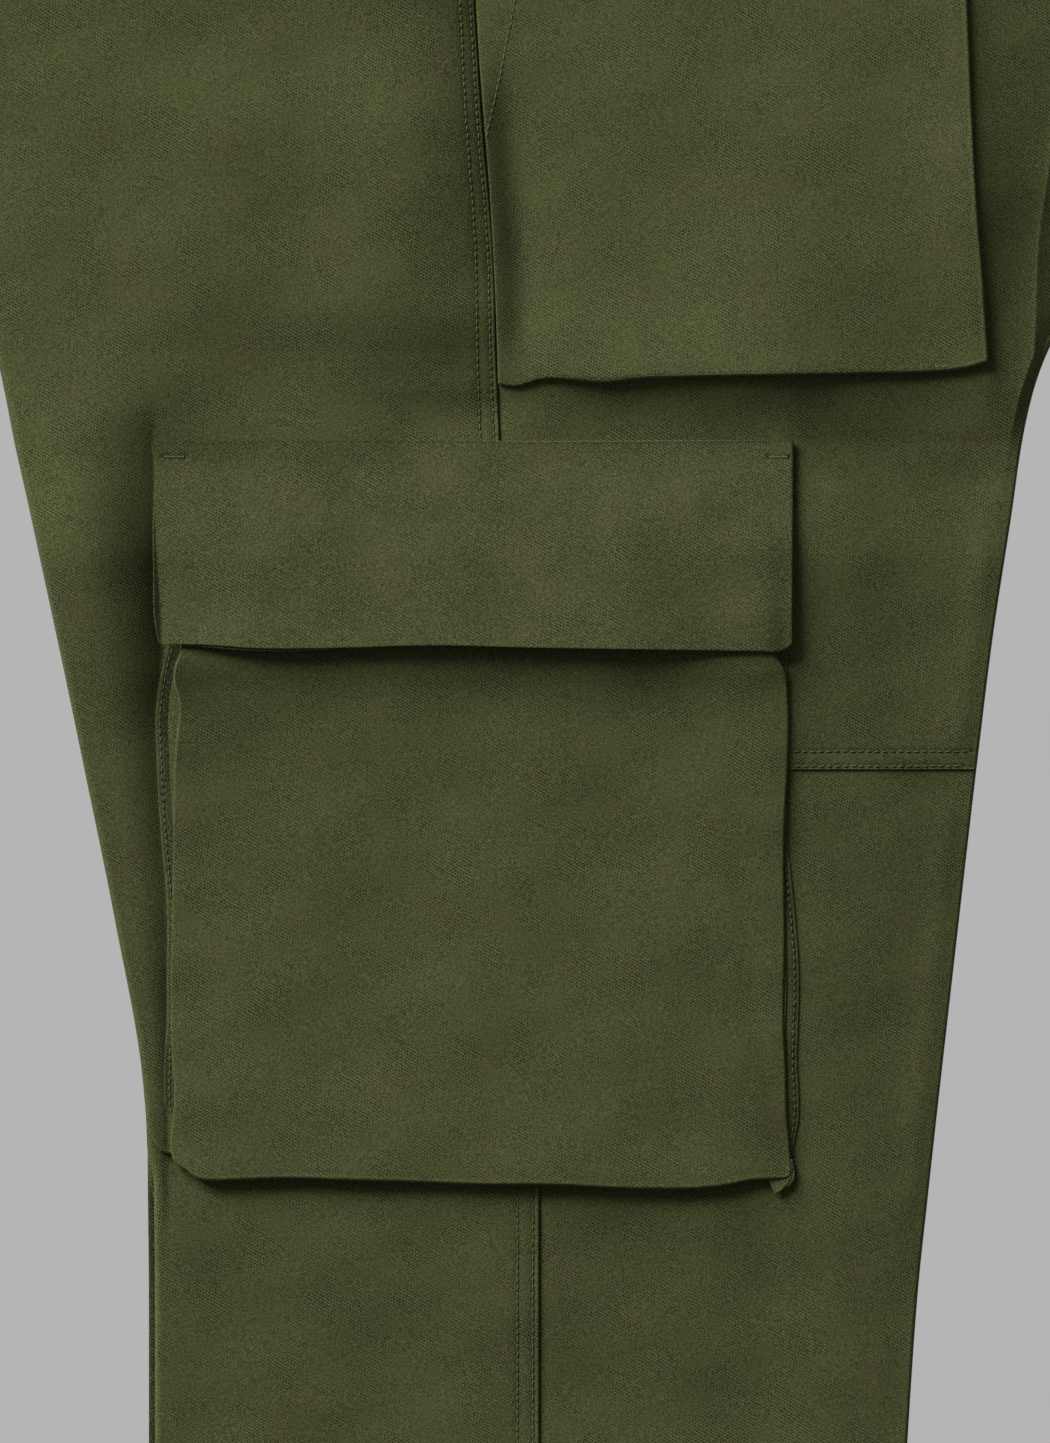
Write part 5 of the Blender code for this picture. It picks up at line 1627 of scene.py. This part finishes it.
def band_middle(drop):
    """The strip's middle line at one drop, from its buried end round the back to its lap."""
    side_out = HIP_HALF - BAND_CLOTH / 2
    dip_out = SEAM_GAP + BAND_CLOTH / 2 - BAND_DIP
    lap_out = dip_out + BAND_CLOTH + SEAM_GAP
    radius, middle = (lap_out + side_out) / 2, (lap_out - side_out) / 2
    first, last = float(back_line(drop)), float(front_line(drop))
    ramp = BAND_RAMP_SHARES
    under = np.linspace(radius + BAND_CLOTH / 2 + BAND_END_ROOM, BAND_LAP, len(ramp))[:-1]
    flat = first + (last - first) * BAND_SHARES
    x = np.concatenate((
        last - under, last - BAND_LAP - BAND_RAMP * ramp, flat,
        first + side_out + BAND_CLOTH / 2 - side_out * np.cos(BAND_TURNS), flat[::-1],
        last - BAND_LAP - BAND_RAMP + (BAND_LAP + BAND_RAMP - radius - BAND_CLOTH / 2) * ramp[:-1],
        last - radius - BAND_CLOTH / 2 + radius * np.cos(-BAND_TURNS),
        last - np.linspace(radius + BAND_CLOTH, BAND_LAP - BAND_LAP_SHORT, BAND_LAP_COLUMNS),
    ))
    out = np.concatenate((
        np.full(len(under), dip_out), dip_out + (side_out - dip_out) * soft_step(ramp, 0.0, 1.0),
        np.full(len(flat), side_out), side_out * np.sin(BAND_TURNS), np.full(len(flat), -side_out),
        np.full(len(ramp) - 1, -side_out), middle - radius * np.sin(BAND_TURNS),
        np.full(BAND_LAP_COLUMNS, lap_out),
    ))
    slack = band_slack(x, drop) * (out > side_out * 0.9)
    z = np.maximum(bed(x, np.full_like(x, drop)) + HIP_HALF + out + slack, BAND_CLOTH / 2)
    return points_at(x, drop, z)


band_bottom = BAND_HEIGHT - SEAM_GAP / 2
band_edge = np.array((0.0, 0.0002, 0.0005, 0.0010))
band_thick = np.array((0.45, 0.75, 0.92, 1.0))
band_inside = np.linspace(0.0016, band_bottom - 0.0016, 26)
band_drops = np.concatenate((band_edge, band_inside, band_bottom - band_edge[::-1]))
band_depths = np.interp(np.minimum(band_drops, band_bottom - band_drops), band_edge, band_thick) * BAND_CLOTH
band_lines = np.stack([band_middle(drop) for drop in band_drops])
band_normal = np.cross(np.gradient(band_lines, axis=1), np.gradient(band_lines, axis=0))
band_normal /= np.linalg.norm(band_normal, axis=2, keepdims=True)
band_steps = np.linalg.norm(np.diff(band_lines[0], axis=0, prepend=band_lines[:1, 0]), axis=1)
band_run = np.cumsum(band_steps)[None, :]
band_dent, band_hole = sewn(band_drops[:, None], BAND_ROWS, band_run, SEAM_STITCH.pitch)
band_outer = band_lines + band_normal * band_depths[:, None, None] / 2
band_outer -= band_normal * band_dent[..., None]
# Painted shade in the needle holes, and a pale upper rim, partly wear and partly painted highlight.
band_tone = -HOLE_SHADE * band_hole + 0.3 * peak(band_drops[:, None], RIM_WIDTH)
cloth_piece(
    "waistband_cloth", wall(band_outer, band_depths, 2, 1, band_tone), RIGHT,
)


def band_top(x, drop):
    return bed(x, drop) + 2 * HIP_HALF + band_slack(x, drop) - BAND_SINK


def far_band_bottom(x, drop):
    return np.maximum(bed(x, drop), 0.0) + 0.0001


for name, end, top, side, sides in (
    ("waistband_stitches", BAND_LAP + BAND_RAMP + 0.002, band_top, RIGHT, 5),
    ("waistband_under_stitches", 0.006, far_band_bottom, LEFT, 4),
):
    lines = [
        level_line(drop, float(back_line(drop)) + BAND_ROW_INSET, float(front_line(drop)) - end, 80)
        for drop in BAND_ROWS
    ]
    sew(name, lines, top, SEAM_STITCH, side, sides)


# Fly -----------------------------------------------------------------------
# The left front's turned edge, lapped over the right front down to the crotch
# and sewn along its free edge.
FLY_END = 0.2050
FLY_LAP = 0.0090
FLY_ROW = 0.0016
FLY_OUT = SEAM_GAP + CLOTH
FLY_SPANS = np.array((FLY_LAP, 0.0084, 0.0078, 0.0074, 0.0070, 0.0060, 0.0046, 0.0034))
FLY_TURNS = np.radians(np.linspace(90, -25, 12))

fly_drops = np.linspace(BAND_HEIGHT + 2 * SEAM_GAP, FLY_END, 128)
fly_rows = fly_drops[:, None]
fly_x = front_line(fly_rows) - FLY_SPANS
fly_start = front_line(fly_rows) - FOLD_WIDTH
fly_high = near_top(fly_start, fly_rows)
fly_low = bed(fly_start, fly_rows) + HIP_HALF + SEAM_GAP / 2
fly_turn_x = fly_start + (FOLD_WIDTH + FLY_OUT) * np.cos(FLY_TURNS)
fly_turn_z = (fly_high + fly_low) / 2 + ((fly_high - fly_low) / 2 + FLY_OUT) * np.sin(FLY_TURNS)
fly_dent, fly_hole = sewn(FLY_LAP - FLY_SPANS, (FLY_ROW,), fly_rows, SEAM_STITCH.pitch)
fly_z = np.concatenate((near_top(fly_x, fly_rows) + FLY_OUT - fly_dent, fly_turn_z), axis=1)
fly_outer = points_at(np.concatenate((fly_x, fly_turn_x), axis=1), fly_rows, fly_z)
fly_tone = np.zeros(fly_z.shape)
# A pale rim along the fly's edge, partly wear and partly painted highlight; painted shade in the needle
# holes.
fly_tone[:, :len(FLY_SPANS)] = 0.4 * peak(FLY_LAP - FLY_SPANS, EDGE_WIDTH) - HOLE_SHADE * fly_hole
fly_shell = wall(fly_outer, CLOTH, 2, -1, fly_tone)
cloth_piece("fly_cloth", fly_shell, RIGHT)


def fly_top(x, drop):
    return near_top(x, drop) + FLY_OUT - STITCH_SINK


fly_line = np.stack((front_line(fly_drops) - FLY_LAP + FLY_ROW, fly_drops), axis=-1)
sew("fly_stitches", [fly_line], fly_top, SEAM_STITCH)


# Button --------------------------------------------------------------------
# A plain moulded button with four holes, sewn through to the waistband's lap.
BUTTON_BASE = (0.030, 0.033, 0.016)
BUTTON_SHADES = ((0.022, 0.024, 0.012, 1.0), (0.046, 0.049, 0.026, 1.0))
BUTTON_SPREAD = 0.0016 * 1.05
BUTTON_FACE = 0.0009
BUTTON_REACH = 0.008
BUTTON_THREAD, BUTTON_THREADS = 0.0007, (-0.00045, 0.0, 0.00045)

button_finish, button_tree, button_shader = plain_material("moulded button", BUTTON_BASE, 0.42)
button_place = button_tree.nodes.new("ShaderNodeTexCoord").outputs["Object"]
button_cloud, _ = cloud(button_tree, button_place, 260.0, 3.0)
button_grain, _ = cloud(button_tree, button_place, 2600.0, 2.0)
button_tree.links.new(
    blend_colour(button_tree, button_cloud, *BUTTON_SHADES), button_shader.inputs["Base Color"],
)
button_tree.links.new(
    reckon(button_tree, "MULTIPLY_ADD", button_grain, 0.25, 0.32), button_shader.inputs["Roughness"],
)
add_bump(button_tree, button_shader, button_grain, 0.25, 0.00008)
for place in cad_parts["waist_button"].material_slots:
    place.material = button_finish

button_low, button_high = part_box("waist_button")
button_x, button_y, button_middle = ((low + high) / 2 for low, high in zip(button_low, button_high))
button_drop = cad_box[1][1] - button_y
button_rise = bed(button_x + BUTTON_REACH, button_drop) - bed(button_x - BUTTON_REACH, button_drop)
button_slope = float(button_rise / (2 * BUTTON_REACH))


def button_face(x, drop):
    return button_middle + BUTTON_FACE + button_slope * (x - button_x)


button_lines = [
    [(button_x + way * BUTTON_SPREAD + beside, button_drop + turn * way * BUTTON_SPREAD) for way in (-1, 1)]
    for turn in (1, -1) for beside in BUTTON_THREADS
]
button_length = 2 * BUTTON_SPREAD * math.sqrt(2)
button_stitch = Stitch(button_length * 0.999, button_length * 1.1, BUTTON_THREAD)
sew("button_thread", button_lines, button_face, button_stitch)
